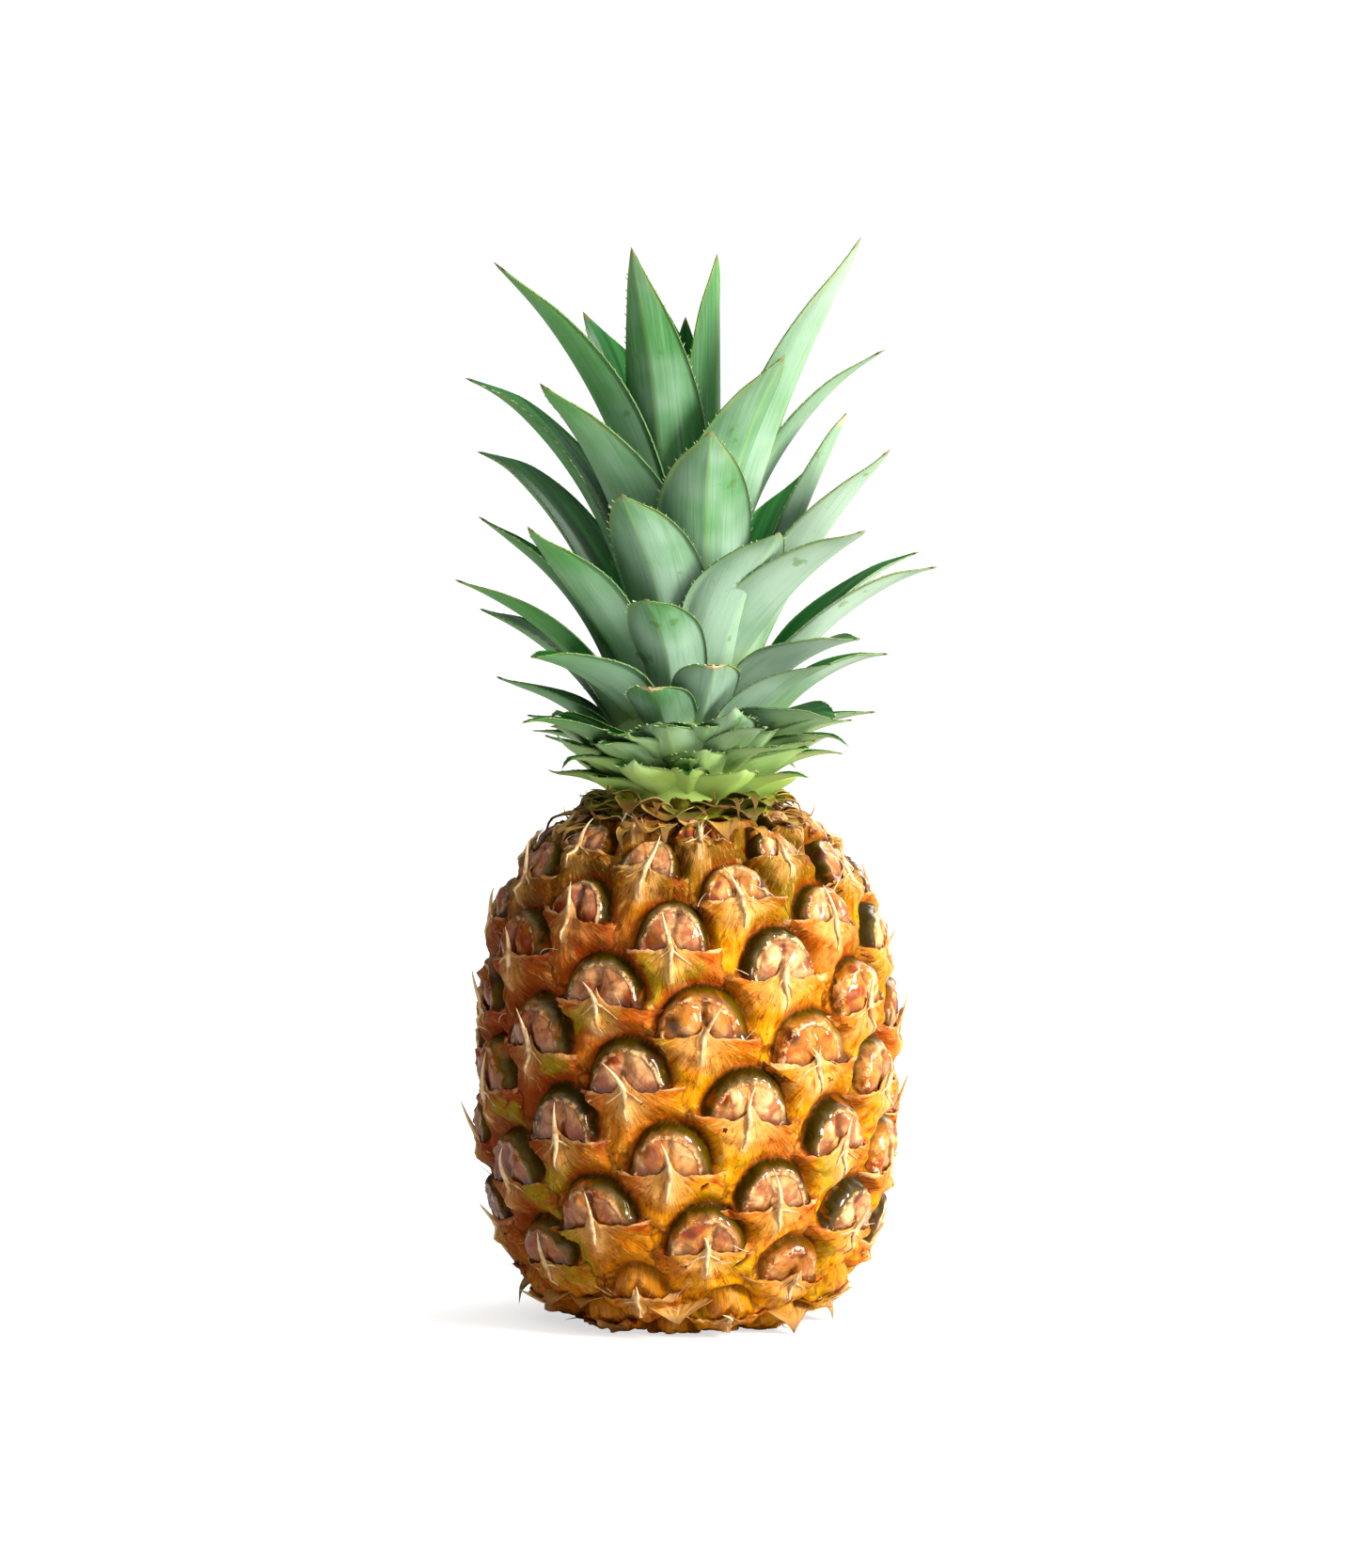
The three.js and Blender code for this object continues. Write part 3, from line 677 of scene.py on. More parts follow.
def makeRind():
    n = eyes["steps"]
    columns = 13 * n
    first = np.ceil((lowestTurn * n - 8 * np.arange(columns)) / 13).astype(int)
    last = np.floor((highestTurn * n - 8 * np.arange(columns)) / 13).astype(int)
    offset = np.concatenate([[0], np.cumsum(last - first + 1)])
    u = np.repeat(np.arange(columns), last - first + 1) / n
    v = np.concatenate([np.arange(a, b + 1) for a, b in zip(first, last)]) / n
    raised, facts = skinRelief(u, v)
    points = skinPoint(u, v, raised)
    raised = raised + 0.22 * ripple(points, 9.0, 51) + 0.13 * ripple(points, 3.6, 61)
    points = skinPoint(u, v, raised).tolist()

    def vertex(column, row):
        if column == columns:
            column, row = 0, row + 8 * n
        if row < first[column] or row > last[column]:
            return -1
        return int(offset[column] + row - first[column])

    faces = []
    for column in range(columns):
        for row in range(first[column] - 1, last[column] + 1):
            lower = [vertex(column, row), vertex(column + 1, row)]
            upper = [vertex(column + 1, row + 1), vertex(column, row + 1)]
            corners = [k for k in lower + upper if k >= 0]
            if len(corners) >= 3:
                faces.append(corners)
    holeTop = stalk["height"] + stalk["headroom"]
    hole = [(stalk["holeRadius"], 0), (stalk["holeRadius"], holeTop)]
    for loop in edgeLoops(faces):
        low = points[loop[0]][2] < barrel["girth"]
        for ringRadius, height in hole if low else [barrel["crownSeat"]]:
            fresh = []
            for k in loop:
                azimuth = math.atan2(points[k][0], -points[k][1])
                fresh.append(len(points))
                x, y = ringRadius * math.sin(azimuth), -ringRadius * math.cos(azimuth)
                points.append([x, y, height])
            for a, b, c, d in zip(loop, loop[1:] + loop[:1], fresh[1:] + fresh[:1], fresh):
                faces.append([a, b, c, d])
            loop = fresh
        faces.append(loop)
    extra = np.zeros(len(points) - len(u))
    values = {key: np.concatenate([numbers, extra]) for key, numbers in facts.items()}
    piece = makePiece("fruitRind", points, faces, rindMaterial(), values)
    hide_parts("fruit")


lip = {
    "columns": 33, "rows": 10, "underRows": 3, "length": 9.0, "peak": 4.8, "lift": 0.85,
    "thickness": 0.45, "flare": 1.4, "lowest": 5,
}


def bractMaterial():
    graph = Shader("bractLips", rindLook)
    down, across, tone = graph.values("down", "across", "tone")
    sheet, grain, fine, patches, ripe = bractColour(graph, down, across, tone)
    width = abs(across)
    edge = (down + fine * 0.06 - 0.03).stretch(0.040, 0.0)
    sheet = graph.layers(
        sheet,
        ((width + patches * 0.2).stretch(0.75, 1.1) * 0.5, "red"),
        ((width + fine * 0.1 - 0.05).stretch(0.14, 0.02) * (ripe * 0.35 + 0.3), "pale"),
        (edge * patches.stretch(0.40, 0.60) * (ripe * 0.3 + 0.35), "pale"),
    )
    return graph.finish(
        Base_Color=sheet,
        Roughness=fine.stretch(0.3, 0.7, 0.36, 0.56),
        Normal=graph.bump(grain, 0.85, 0.0010),
        Specular_IOR_Level=0.07,
    )


def lipHeight(i, j, a, b, s, t):
    u, v = eyeSpot(i, j, a, b)
    under, _ = skinRelief(u, v)
    number = turnOf(i, j)
    lift = (lip["lift"] + 0.3 * jitter(number, 71)) * (1 - t) ** 0.8 * (1 - np.abs(s) ** 5)
    height = under + lift + 0.9 * np.exp(-(a / 1.5) ** 2) * (1 - 0.7 * t)
    height -= 0.5 * smooth(t, 0.75, 1)
    height += 0.12 * np.sin(a * 1.9 + 5 * jitter(number, 72) + 3 * t) * (1 - t)
    flare = smooth(-atTurn(number, heightTable), -24, -9) * (1 - 0.6 * t)
    wings = np.abs(s) ** 2.5 * (0.6 + 0.4 * jitter(number, 98 + np.sign(s)))
    return u, v, height + flare * (0.8 + lip["flare"] * wings)


def makeLips():
    bundle = Bundle()
    width, topRows, underRows = lip["columns"], lip["rows"], lip["underRows"]
    s = np.linspace(-1, 1, width)
    s = np.sign(s) * np.abs(s) ** 1.5  # closer together at the spine
    for i, j in allEyes():
        number = turnOf(i, j)
        if atTurn(number, heightTable) < lip["lowest"]:
            continue
        spread = np.where(s < 0, jitter(number, 73), jitter(number, 78))
        wing = bract["wing"] * (1.10 + 0.10 * spread)
        ragged = 0.35 * np.sin(s * 9 + 5 * jitter(number, 74)) + 0.24 * np.sin(s * 27 + number)
        peak = (lip["peak"] + jitter(number, 76)) * np.exp(-(np.abs(s) / 0.105) ** 1.15)
        bow = (0.9 + 1.1 * jitter(number, 77)) * np.abs(s) ** 1.7
        edge = peak - 0.3 + bow + 1.6 * jitter(number, 75) * s + ragged * (1 - s ** 4)
        fall = (lip["length"] + peak) * (1 - np.abs(s) ** 1.5 * 0.97)
        starts = []
        for rows, sunk in ((topRows, 0), (underRows, lip["thickness"])):
            grid, depth = np.broadcast_arrays(s, np.linspace(0, 1, rows)[:, None])
            a, b = grid * wing, edge - fall * depth
            u, v, height = lipHeight(i, j, a.ravel(), b.ravel(), grid.ravel(), depth.ravel())
            points = skinPoint(u, v, height - sunk).reshape(rows, -1, 3)
            down = 0.4 if sunk else np.clip(-b / bract["fall"], 0, 1)
            values = {"down": down, "across": a / bract["wing"], "tone": jitter(number, 42)}
            starts.append(bundle.addGrid(points, values, flip=not sunk))
        top, under = starts
        topEnd, underEnd = top + (topRows - 1) * width, under + (underRows - 1) * width
        for c in range(width - 1):
            bundle.addFace([top + c, top + c + 1, under + c + 1, under + c])
            bundle.addFace([topEnd + c + 1, topEnd + c, underEnd + c, underEnd + c + 1])
        for c in (0, width - 1):
            rim = [top + r * width + c for r in range(topRows)]
            rim += [under + r * width + c for r in reversed(range(underRows))]
            bundle.addFace(rim, flip=c == 0)
    piece = bundle.piece("bractLips", bractMaterial(), "rind")
    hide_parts("fruit")


def strandTree(name, material):  # lines become tapering tubes
    tree = bpy.data.node_groups.new(name, "GeometryNodeTree")
    tree.is_modifier = True
    keys = {}
    for label, kind in (("Geometry", "Geometry"), ("Sides", "Int"), ("Thickness", "Float")):
        socket = tree.interface.new_socket(label, in_out="INPUT", socket_type="NodeSocket" + kind)
        keys[label] = socket.identifier
    tree.interface.new_socket("Geometry", in_out="OUTPUT", socket_type="NodeSocketGeometry")
    graph = Graph(tree)
    lines, sides, scale = (graph.add("NodeGroupInput", {}, {}, label) for label in keys)
    curve = graph.add("GeometryNodeMeshToCurve", {}, {"Mesh": lines})
    circle = graph.add("GeometryNodeCurvePrimitiveCircle", {}, {"Resolution": sides, "Radius": 1})
    settings = {"data_type": "FLOAT"}
    thick = graph.add("GeometryNodeInputNamedAttribute", settings, {"Name": "thick"}, "Attribute")
    tube = graph.add("GeometryNodeCurveToMesh", {}, {
        "Curve": curve, "Profile Curve": circle, "Scale": thick * scale, "Fill Caps": True,
    })
    real = graph.add("GeometryNodeRealizeInstances", {}, {"Geometry": tube})
    painted = graph.add("GeometryNodeSetMaterial", {}, {"Geometry": real, "Material": material})
    graph.feed(tree.nodes.new("NodeGroupOutput").inputs["Geometry"], painted)
    return tree, keys


def growStrands(name, strands, look, replaced):  # each strand: its points and thicknesses
    paths = [path for path, _ in strands]
    edges, start = [], 0
    for path in paths:
        edges += [(k, k + 1) for k in range(start, start + len(path) - 1)]
        start += len(path)
    guide = bpy.data.meshes.new(name + "Guide")
    guide.from_pydata((np.concatenate(paths) * mm).tolist(), edges, [])
    keepValues(guide, {
        "thick": np.concatenate([thick for _, thick in strands]).astype(np.float32) * mm,
        "along": np.concatenate([np.linspace(0, 1, len(path)) for path in paths]),
    })
    holder = placed(name + "Guide", guide)
    modifier = holder.modifiers.new("strands", "NODES")
    modifier.node_group, keys = strandTree(name, dryMaterial(name, look))
    modifier[keys["Sides"]], modifier[keys["Thickness"]] = look["sides"], 1.0
    graph = bpy.context.evaluated_depsgraph_get()
    mesh = bpy.data.meshes.new_from_object(holder.evaluated_get(graph), depsgraph=graph)
    holder.modifiers.remove(modifier)
    bpy.data.objects.remove(holder)
    mesh.name = name
    piece = asPiece(name, mesh)
    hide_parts(replaced)


def dryMaterial(name, look):
    graph = Shader(name, look)
    streak = graph.noise(260, 3, 0.6)
    dryness = (streak + graph.value("along") * 0.15).stretch(0.62, 0.40)
    return graph.finish(
        Base_Color=graph.layers("colour", (dryness, "shade")),
        Roughness=streak.stretch(0.3, 0.7, 0.5, 0.7),
        Normal=graph.bump(streak, 0.4, 0.0003),
    )


spine = {
    "length": 10.2, "lengthSpread": 0.38, "lean": 15, "leanSpread": 13, "swingSpread": 25,
    "root": 0.5, "thickness": 0.80, "points": 12, "footPoints": 6, "strutPoints": 5, "sides": 6,
    "lowest": 6, "innermost": 30, "colour": "e8cc9c", "shade": "b87e44",
}


def turned(vector, axis, angle):
    cosine, sine = math.cos(angle), math.sin(angle)
    return vector * cosine + np.cross(axis, vector) * sine + axis * (axis @ vector) * (1 - cosine)


def lipSpots(i, j, a, b, raised):  # places on the lip of an eye's bract
    depth = np.clip(-b / lip["length"], 0, 1)
    u, v, height = lipHeight(i, j, a, b, a / bract["wing"], depth)
    return skinPoint(u, v, height + raised)


def spineStrands():
    strands = []
    struts = np.linspace(0, 1, spine["strutPoints"])[:, None]
    for i, j in allEyes():
        number = turnOf(i, j)
        radius, height = atTurn(number, radiusTable), atTurn(number, heightTable)
        if height < spine["lowest"] or radius < spine["innermost"]:
            continue
        size = math.sqrt(radius / barrel["radius"])
        places = (eyeSpot(i, j, a, b) for a, b in ((0, 0), (0, 2), (2, 0)))
        here, above, beside = (skinPoint(*place, spine["root"]) for place in places)
        climb, across = unit(above - here), unit(beside - here)
        away = unit(np.cross(across, climb))
        swing = math.radians(spine["swingSpread"] * jitter(number, 2))
        lean = math.radians(spine["lean"] + spine["leanSpread"] * jitter(number, 1))
        heading = turned(turned(climb, away, swing), across, lean)
        length = spine["length"] * size * (1 + spine["lengthSpread"] * jitter(number, 3))
        t = np.linspace(0, 1, spine["points"])[:, None]
        start = lipSpots(i, j, np.zeros(1), np.full(1, 0.5), 0)[0]
        bend = 0.42 * jitter(number, 5) * across - 0.10 * away * (1 + jitter(number, 6))
        free = start + heading * t * (length - 1) + bend * length * t ** 2.2
        a = np.linspace(1.2 * jitter(number, 7), 0, spine["footPoints"])
        foot = lipSpots(i, j, a, np.linspace(-8, -0.6, spine["footPoints"]), 0.1)
        thick = np.linspace(0.12, spine["thickness"], spine["footPoints"])
        thick = np.concatenate([thick, spine["thickness"] * (1 - t[:, 0]) ** 0.8 + 0.06])
        strands.append((np.concatenate([foot, free]), thick * size))
        for hand in (-1, 1):  # struts that run up from the lip and join the spine
            if jitter(number, 8 + hand) < -0.35:
                continue
            outer = 5.0 + 2.6 * jitter(number, 11 + hand)
            drop = 2.8 + 1.6 * jitter(number, 14 + hand)
            a = np.linspace(hand * outer, hand * 0.5, spine["strutPoints"])
            side = lipSpots(i, j, a, np.linspace(-drop, 0.2, spine["strutPoints"]), 0.15)
            gap = 0.1 + 0.5 * (jitter(number, 17 + hand) > 0)
            joined = free[2:2 + len(struts)] + across * hand * lerp(0.45, gap, struts)
            joined += across * hand * 0.5 * struts ** 2 * (jitter(number, 19) > 0.2)
            thick = np.concatenate([lerp(0.1, 0.42, struts), lerp(0.4, 0.08, struts)])[:, 0]
            strands.append((np.concatenate([side, joined]), thick * size))
    return strands


hair = {
    "count": 150, "length": 8.0, "thickness": 0.13, "points": 9, "sides": 4, "seed": 7,
    "lift": 1.6, "lowest": 3, "sparse": (28, 122), "sparseness": 0.22,  # fewer round the girth
    "colour": "f0dfbb", "shade": "b98a52",
}


def hairStrands():
    picker = np.random.default_rng(hair["seed"])
    strands = []
    places = allEyes()
    low, high = hair["sparse"]
    while len(strands) < hair["count"]:
        i, j = places[picker.integers(len(places))]
        height = atTurn(turnOf(i, j), heightTable)
        if height < hair["lowest"]:
            continue
        if low < height < high and picker.random() > hair["sparseness"]:
            continue
        a, b = picker.uniform(-14, 14), picker.uniform(-3, 1)
        base = skinPoint(*eyeSpot(i, j, a, b), hair["lift"])
        climb = unit(skinPoint(*eyeSpot(i, j, a, b + 2), hair["lift"]) - base)
        away = unit(np.array([base[0], base[1], 0.35 * (base[2] - 70)]))
        side = unit(np.cross(away, climb))
        length = hair["length"] * picker.uniform(0.5, 1.3)
        t = np.linspace(0, 1, hair["points"])[:, None]
        heading = climb * picker.uniform(-0.2, 1) + away * picker.uniform(0.25, 0.6)
        heading = unit(heading + side * picker.uniform(-0.7, 0.7))
        curl = side * picker.uniform(-0.5, 0.5) + climb * picker.uniform(-0.4, 0.3) - away * 0.25
        path = base + heading * t * length + curl * length * t ** 2
        path[:, 2] = np.maximum(path[:, 2], 0.4)
        strands.append((path, hair["thickness"] * (1.15 - t[:, 0]) * picker.uniform(0.8, 1.6)))
    return strands


stalk = {
    "radius": 12.6, "holeRadius": 12.9, "height": 9, "headroom": 0.3, "sides": 96,
    "colour": "c9b083", "ring": "8f6f42", "bark": "7a5a30",
    "profile": [
        (0.3, 0.35), (4, 0.2), (8, 0.1), (10.8, 0.0), (11.9, 0.0), (12.3, 0.5), (12.6, 1.3),
        (12.2, 5), (11.8, 9), (0.3, 9),
    ],
}


def stalkMaterial():
    graph = Shader("cutStalk", stalk)
    fibres = graph.noise(900, 2, 0.5)
    blotch = graph.noise(120, 3, 0.5)
    edge = (graph.value("edge") + blotch * 0.3).stretch(0.9, 1.15)
    return graph.finish(
        Base_Color=graph.layers("colour", (fibres.stretch(0.42, 0.60), "ring"), (edge, "bark")),
        Roughness=blotch.stretch(0.3, 0.7, 0.7, 0.9),
        Normal=graph.bump(fibres, 0.6, 0.0008),
    )


def makeStalk():
    bundle = Bundle()
    sides = stalk["sides"]
    points = turnedRings(stalk["profile"], sides, swell=((0.004, 23), (0.003, 9)))
    edge = np.hypot(points[..., 0], points[..., 1]) / stalk["radius"]
    bundle.addGrid(points, {"edge": edge}, closed=True, flip=True)
    bundle.addDisc(0, sides)
    bundle.addDisc(bundle.count - sides, sides, flip=True)
    piece = bundle.piece("cutStalk", stalkMaterial(), "stalk")
    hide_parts("cut_stalk")


thorn = {
    "length": 1.1, "thickness": 0.55, "spacing": 3.4, "sides": 3,
    "colour": "b2cc92", "shade": "86a454",
}


def thornStrands(number, rims, heading, side):  # small thorns up both edges of a leaf
    strands = []
    for hand, rim in zip((-1, 1), rims):
        far = np.concatenate([[0], np.cumsum(np.linalg.norm(np.diff(rim, axis=0), axis=1))])
        for step in np.arange(0.15 * far[-1], 0.97 * far[-1], thorn["spacing"]):
            step += 0.4 * thorn["spacing"] * jitter(number, step + 7 * hand)
            foot = np.array([np.interp(step, far, column) for column in rim.T])
            k = min(int(np.searchsorted(far, step)), len(rim) - 1)
            way = unit(side * hand + heading[k] * 1.1)
            size = thorn["length"] * (0.8 + 0.3 * jitter(number, step))
            path = foot + np.outer(np.array([-0.3, 0.4, 1.0]) * size, way)
            path += np.outer([0, 0, 0.25 * size], heading[k])
            strands.append((path, np.array([0.5, 0.3, 0.05]) * thorn["thickness"]))
    return strands


def leafShare(t, rootShare, fullest, bluntness):
    swell = lerp(rootShare, 1, np.sin(np.clip(t / fullest, 0, 1) * math.pi / 2))
    taper = 1 - np.clip((t - fullest) / (1 - fullest), 0, 1) ** bluntness
    return np.where(t < fullest, swell, taper)


def leafPath(leaf, side, away):  # gives a function of the share of the length
    number = leaf["number"]
    root = np.array([leaf["rootRadius"], leaf["rootHeight"]])
    chord = np.array([leaf["tipRadius"], leaf["tipHeight"]]) - root
    bulge = np.array([-chord[1], chord[0]]) * leaf["arch"]
    reach = np.linalg.norm(chord)
    hook = leaf.get("hook", 0.03) * reach

    def centre(t):
        rise = 4 * t * (1 - t)
        late = np.clip((t - 0.8) / 0.2, 0, 1) ** 2
        out = root[0] + chord[0] * t + bulge[0] * rise
        height = root[1] + chord[1] * t + bulge[1] * rise
        height = height - hook * late * jitter(number, 84)
        sway = reach * 0.02 * np.sin(t * 4.2) * jitter(number, 81)
        sway = sway + late * hook * 0.6 * jitter(number, 82)
        upright = np.array([0.0, 0.0, 1.0]) * height[:, None]
        return away * out[:, None] + upright + side * sway[:, None]

    return centre


def addLeaf(bundle, leaf):  # a closed channelled blade
    number, columns, end = leaf["number"], leaf["columns"], leaf.get("end", 1.0)
    azimuth = math.radians(leaf["azimuth"])
    away = np.array([math.sin(azimuth), -math.cos(azimuth), 0])
    side = np.cross(away, np.array([0.0, 0.0, 1.0]))
    centre = leafPath(leaf, side, away)
    t = np.linspace(0, 1, leaf["rows"] + 1)[:-1]
    t = (t + 0.35 * t * (1 - t)) * end
    if end < 1:
        t[-1] = end
    heading = centre(t + 0.01) - centre(t - 0.01)
    heading /= np.linalg.norm(heading, axis=1)[:, None]
    inner = np.cross(side, heading)
    share = leafShare(t, leaf["rootShare"], leaf["fullest"], leaf.get("bluntness", 1.9))
    if end < 1:
        share = share * np.sqrt(np.clip(1 - np.clip((t - end + 0.06) / 0.06, 0, 1) ** 2, 0.02, 1))
    middle, count, t = centre(t), len(t), t[:, None]
    half = leaf["width"] / 2 * share[:, None]
    s = np.linspace(-1, 1, columns)[None, :]
    depth = half * leaf["channel"] * (1 - 0.45 * t) * (1 - 0.8 * smooth(t, 0.84, 1.0))
    dish = depth * np.abs(s) ** leaf.get("roundness", 1.6)
    body = leaf["thickness"] / 2 * (1 - 0.5 * t) * np.sqrt(np.clip(1 - 0.86 * s ** 2, 0, 1))
    waves = 0.045 * half * np.sin(9.5 * t + 5 * jitter(number, 85) + 2 * s) * np.abs(s) ** 2
    folds = 0.10 * np.sin(s * 7.5 + 4 * jitter(number, 86)) + 0.05 * np.sin(s * 17 + number)
    folds = folds * (1 - np.abs(s)) * smooth(half, 2, 8)
    keel = np.exp(-((s - 0.05 * jitter(number, 87)) / 0.06) ** 2) * smooth(half, 1, 6)
    back = dish - body + waves + folds - leaf.get("keel", 0.28) * keel
    front = dish + body + waves + folds
    grids = [middle[:, None, :] + side * (s * half)[..., None] + inner[:, None, :] * y[..., None]
             for y in (back, front)]
    if "thorns" in leaf:
        rims = [(grids[0][:, c] + grids[1][:, c]) / 2 for c in (0, -1)]
        leaf["thorns"] += thornStrands(number, rims, heading, side)
    values = {
        "across": s, "offset": s * half, "along": t, "tone": jitter(number, 88),
        "young": leaf.get("young", 0.0), "blunt": float(end < 1),
    }
    back = bundle.addGrid(grids[0], {**values, "face": 0.0})
    front = bundle.addGrid(grids[1], {**values, "face": 1.0}, flip=True)
    for r in range(count - 1):
        for c in (0, columns - 1):
            a, b = back + r * columns + c, front + r * columns + c
            bundle.addFace([a, a + columns, b + columns, b], flip=c == 0)
    backEnd, frontEnd = back + (count - 1) * columns, front + (count - 1) * columns
    ring = range(columns)
    bundle.addFace([back + c for c in reversed(ring)] + [front + c for c in ring])
    if end < 1:
        bundle.addFace([backEnd + c for c in ring] + [frontEnd + c for c in reversed(ring)])
        return
    pointed = {**values, "across": 0.0, "offset": 0.0, "along": 1.0, "face": 0.5}
    tip = bundle.addPoints(centre(np.array([1.0])), pointed)
    for c in range(columns - 1):
        bundle.addFace([backEnd + c, backEnd + c + 1, tip])
        bundle.addFace([frontEnd + c + 1, frontEnd + c, tip])
    bundle.addFace([backEnd + columns - 1, frontEnd + columns - 1, tip])
    bundle.addFace([frontEnd, backEnd, tip])


# leaves of one kind, each turned on by the same angle; "last" has what changes evenly to the
# last leaf, and "spreads" what strays, by how much and the salt of its jitter
def addLeaves(bundle, kind, **more):
    for k in range(kind["count"]):
        leaf = {**kind, **more}
        for key, last in kind.get("last", {}).items():
            leaf[key] = lerp(kind[key], last, k / (kind["count"] - 1))
        for key, spread, salt in kind["spreads"]:
            leaf[key] += spread * jitter(k, salt)
        leaf["azimuth"] += k * crown["divergence"]
        leaf["number"] += k
        addLeaf(bundle, leaf)


def plainValues(across, along):  # for a solid in among the leaves
    nothing = dict.fromkeys(("tone", "young", "blunt", "face"), 0.0)
    return {"across": across, "offset": 2.0, "along": along, **nothing}


crown = {
    "count": 54, "divergence": 137.5, "firstAzimuth": 90, "lowestRoot": 149.8, "highestRoot": 194,
    "crowding": 1.3, "thickness": 1.7, "lowestThickness": 1.2, "arch": 0.12, "channel": 0.72,
    "lowestChannel": 0.4, "sink": 4, "rows": 34, "columns": 19,
}
tipHeights = [
    (0, 284), (8, 280), (20, 245), (30, 214), (36, 196), (42, 177), (48, 171), (53, 165),
]
tipRadii = [
    (0, 12), (3, 30), (6, 50), (12, 64), (30, 67), (38, 58), (43, 53), (48, 47), (53, 38),
]
leafWidths = [(0, 15), (5, 23), (9, 28), (24, 27), (34, 23), (44, 18), (53, 15)]
strayLeaves = {  # azimuth, tip radius, tip height, arch and share of the width
    0: (190, 6, 291, 0.02), 2: (188, 35, 291, 0.05), 3: (55, 10, 309, 0.0),
    4: (-62, 61, 304, 0.11), 5: (58, 59, 308, 0.07), 6: (-24, 44, 306, 0.10),
    7: (-138, 44, 289, 0.08, 1.15), 8: (40, 43, 279, 0.1), 9: (-46, 57, 270, 0.11, 0.95),
    10: (82, 57, 281, 0.14, 0.62), 11: (9, 50, 257, 0.08), 12: (-108, 68, 273, 0.13, 0.8),
    13: (50, 65, 229, 0.08), 14: (-21, 50, 240, 0.08, 0.95), 15: (72, 51, 268, 0.02, 0.55),
    16: (31, 50, 230, 0.06), 17: (-50, 60, 229, 0.05, 0.85), 18: (62, 65, 251, 0.06, 0.85),
    19: (-14, 46, 211, 0.07, 0.78), 20: (-124, 75, 251, 0.12, 0.8), 21: (54, 60, 199, 0.08, 0.9),
    22: (-50, 58, 194, 0.08, 0.9), 23: (140, 54, 241, 0.08), 24: (11, 43, 192.5, 0.05, 0.72),
    25: (-98, 61, 230, 0.12, 0.75), 26: (80, 72.5, 219, 0.1, 0.8),
    27: (-15, 43, 185.5, 0.05, 0.76), 29: (53, 53, 176, 0.08), 30: (-76, 68, 214, 0.11, 0.8),
    31: (110, 72, 221, 0.1, 0.8),
    32: (8, 41, 174, 0.04), 33: (-112, 66, 203, 0.11), 34: (88, 58, 193, 0.12),
    35: (-30, 42, 172, 0.05), 38: (-90, 55, 184, 0.12), 40: (-8, 47, 175, 0.06),
}
bluntLeaves = {15: 0.92, 24: 0.94, 27: 0.94}  # leaves whose dry tips have broken off, and where
roundLeaves = {8: 2.0, 11: 2.3, 14: 2.2, 19: 2.4, 24: 2.0, 27: 2.0, 40: 1.8}  # full shoulders
stem = {
    "sides": 48, "foot": (142.5, 0.5), "head": (201.0, 0.5),  # height and radius, as below
    "outline": [(142.5, 20), (149, 20), (160, 22), (172, 21), (186, 15), (200, 8)],
}
neckLeaves = {  # short broad leaves packed round the neck
    "count": 25, "number": 300, "azimuth": 20, "rows": 16, "columns": 13, "rootRadius": 18,
    "rootHeight": 162, "tipRadius": 44, "tipHeight": 178, "arch": 0.0, "width": 21,
    "thickness": 0.8, "channel": 0.55, "rootShare": 0.9, "fullest": 0.36, "bluntness": 1.8,
    "young": 1.0, "hook": 0.1,
    "last": {"rootHeight": 148.6, "tipRadius": 35, "tipHeight": 159},
    "spreads": [("tipRadius", 3, 96), ("tipHeight", 2, 97)],
}
slimLeaves = {  # and slim ones between them
    **neckLeaves, "count": 15, "number": 340, "azimuth": 65, "columns": 9, "rootRadius": 19,
    "rootHeight": 160, "tipRadius": 53, "tipHeight": 171, "arch": 0.10, "width": 12,
    "channel": 0.6, "fullest": 0.28, "bluntness": 1.2, "hook": 0.12,
    "last": {"rootHeight": 149.5, "tipRadius": 41, "tipHeight": 157},
    "spreads": [("tipRadius", 3, 121), ("tipHeight", 2, 122)],
}
leafLook = {
    "back": "5c9e5e", "bloom": "acd2b8", "deep": "1e5c1c", "foot": "d0f088", "inner": "25702c",
    "innerDeep": "0f4a1a", "chalkAndLight": "bccdc0", "fresh": "5cae4c", "margin": "86a652",
    "dry": "7a6434", "lime": "b2de30", "spot": "5c7a2c", "ripe": "a2bc52", "torn": "cfbd8c",
}


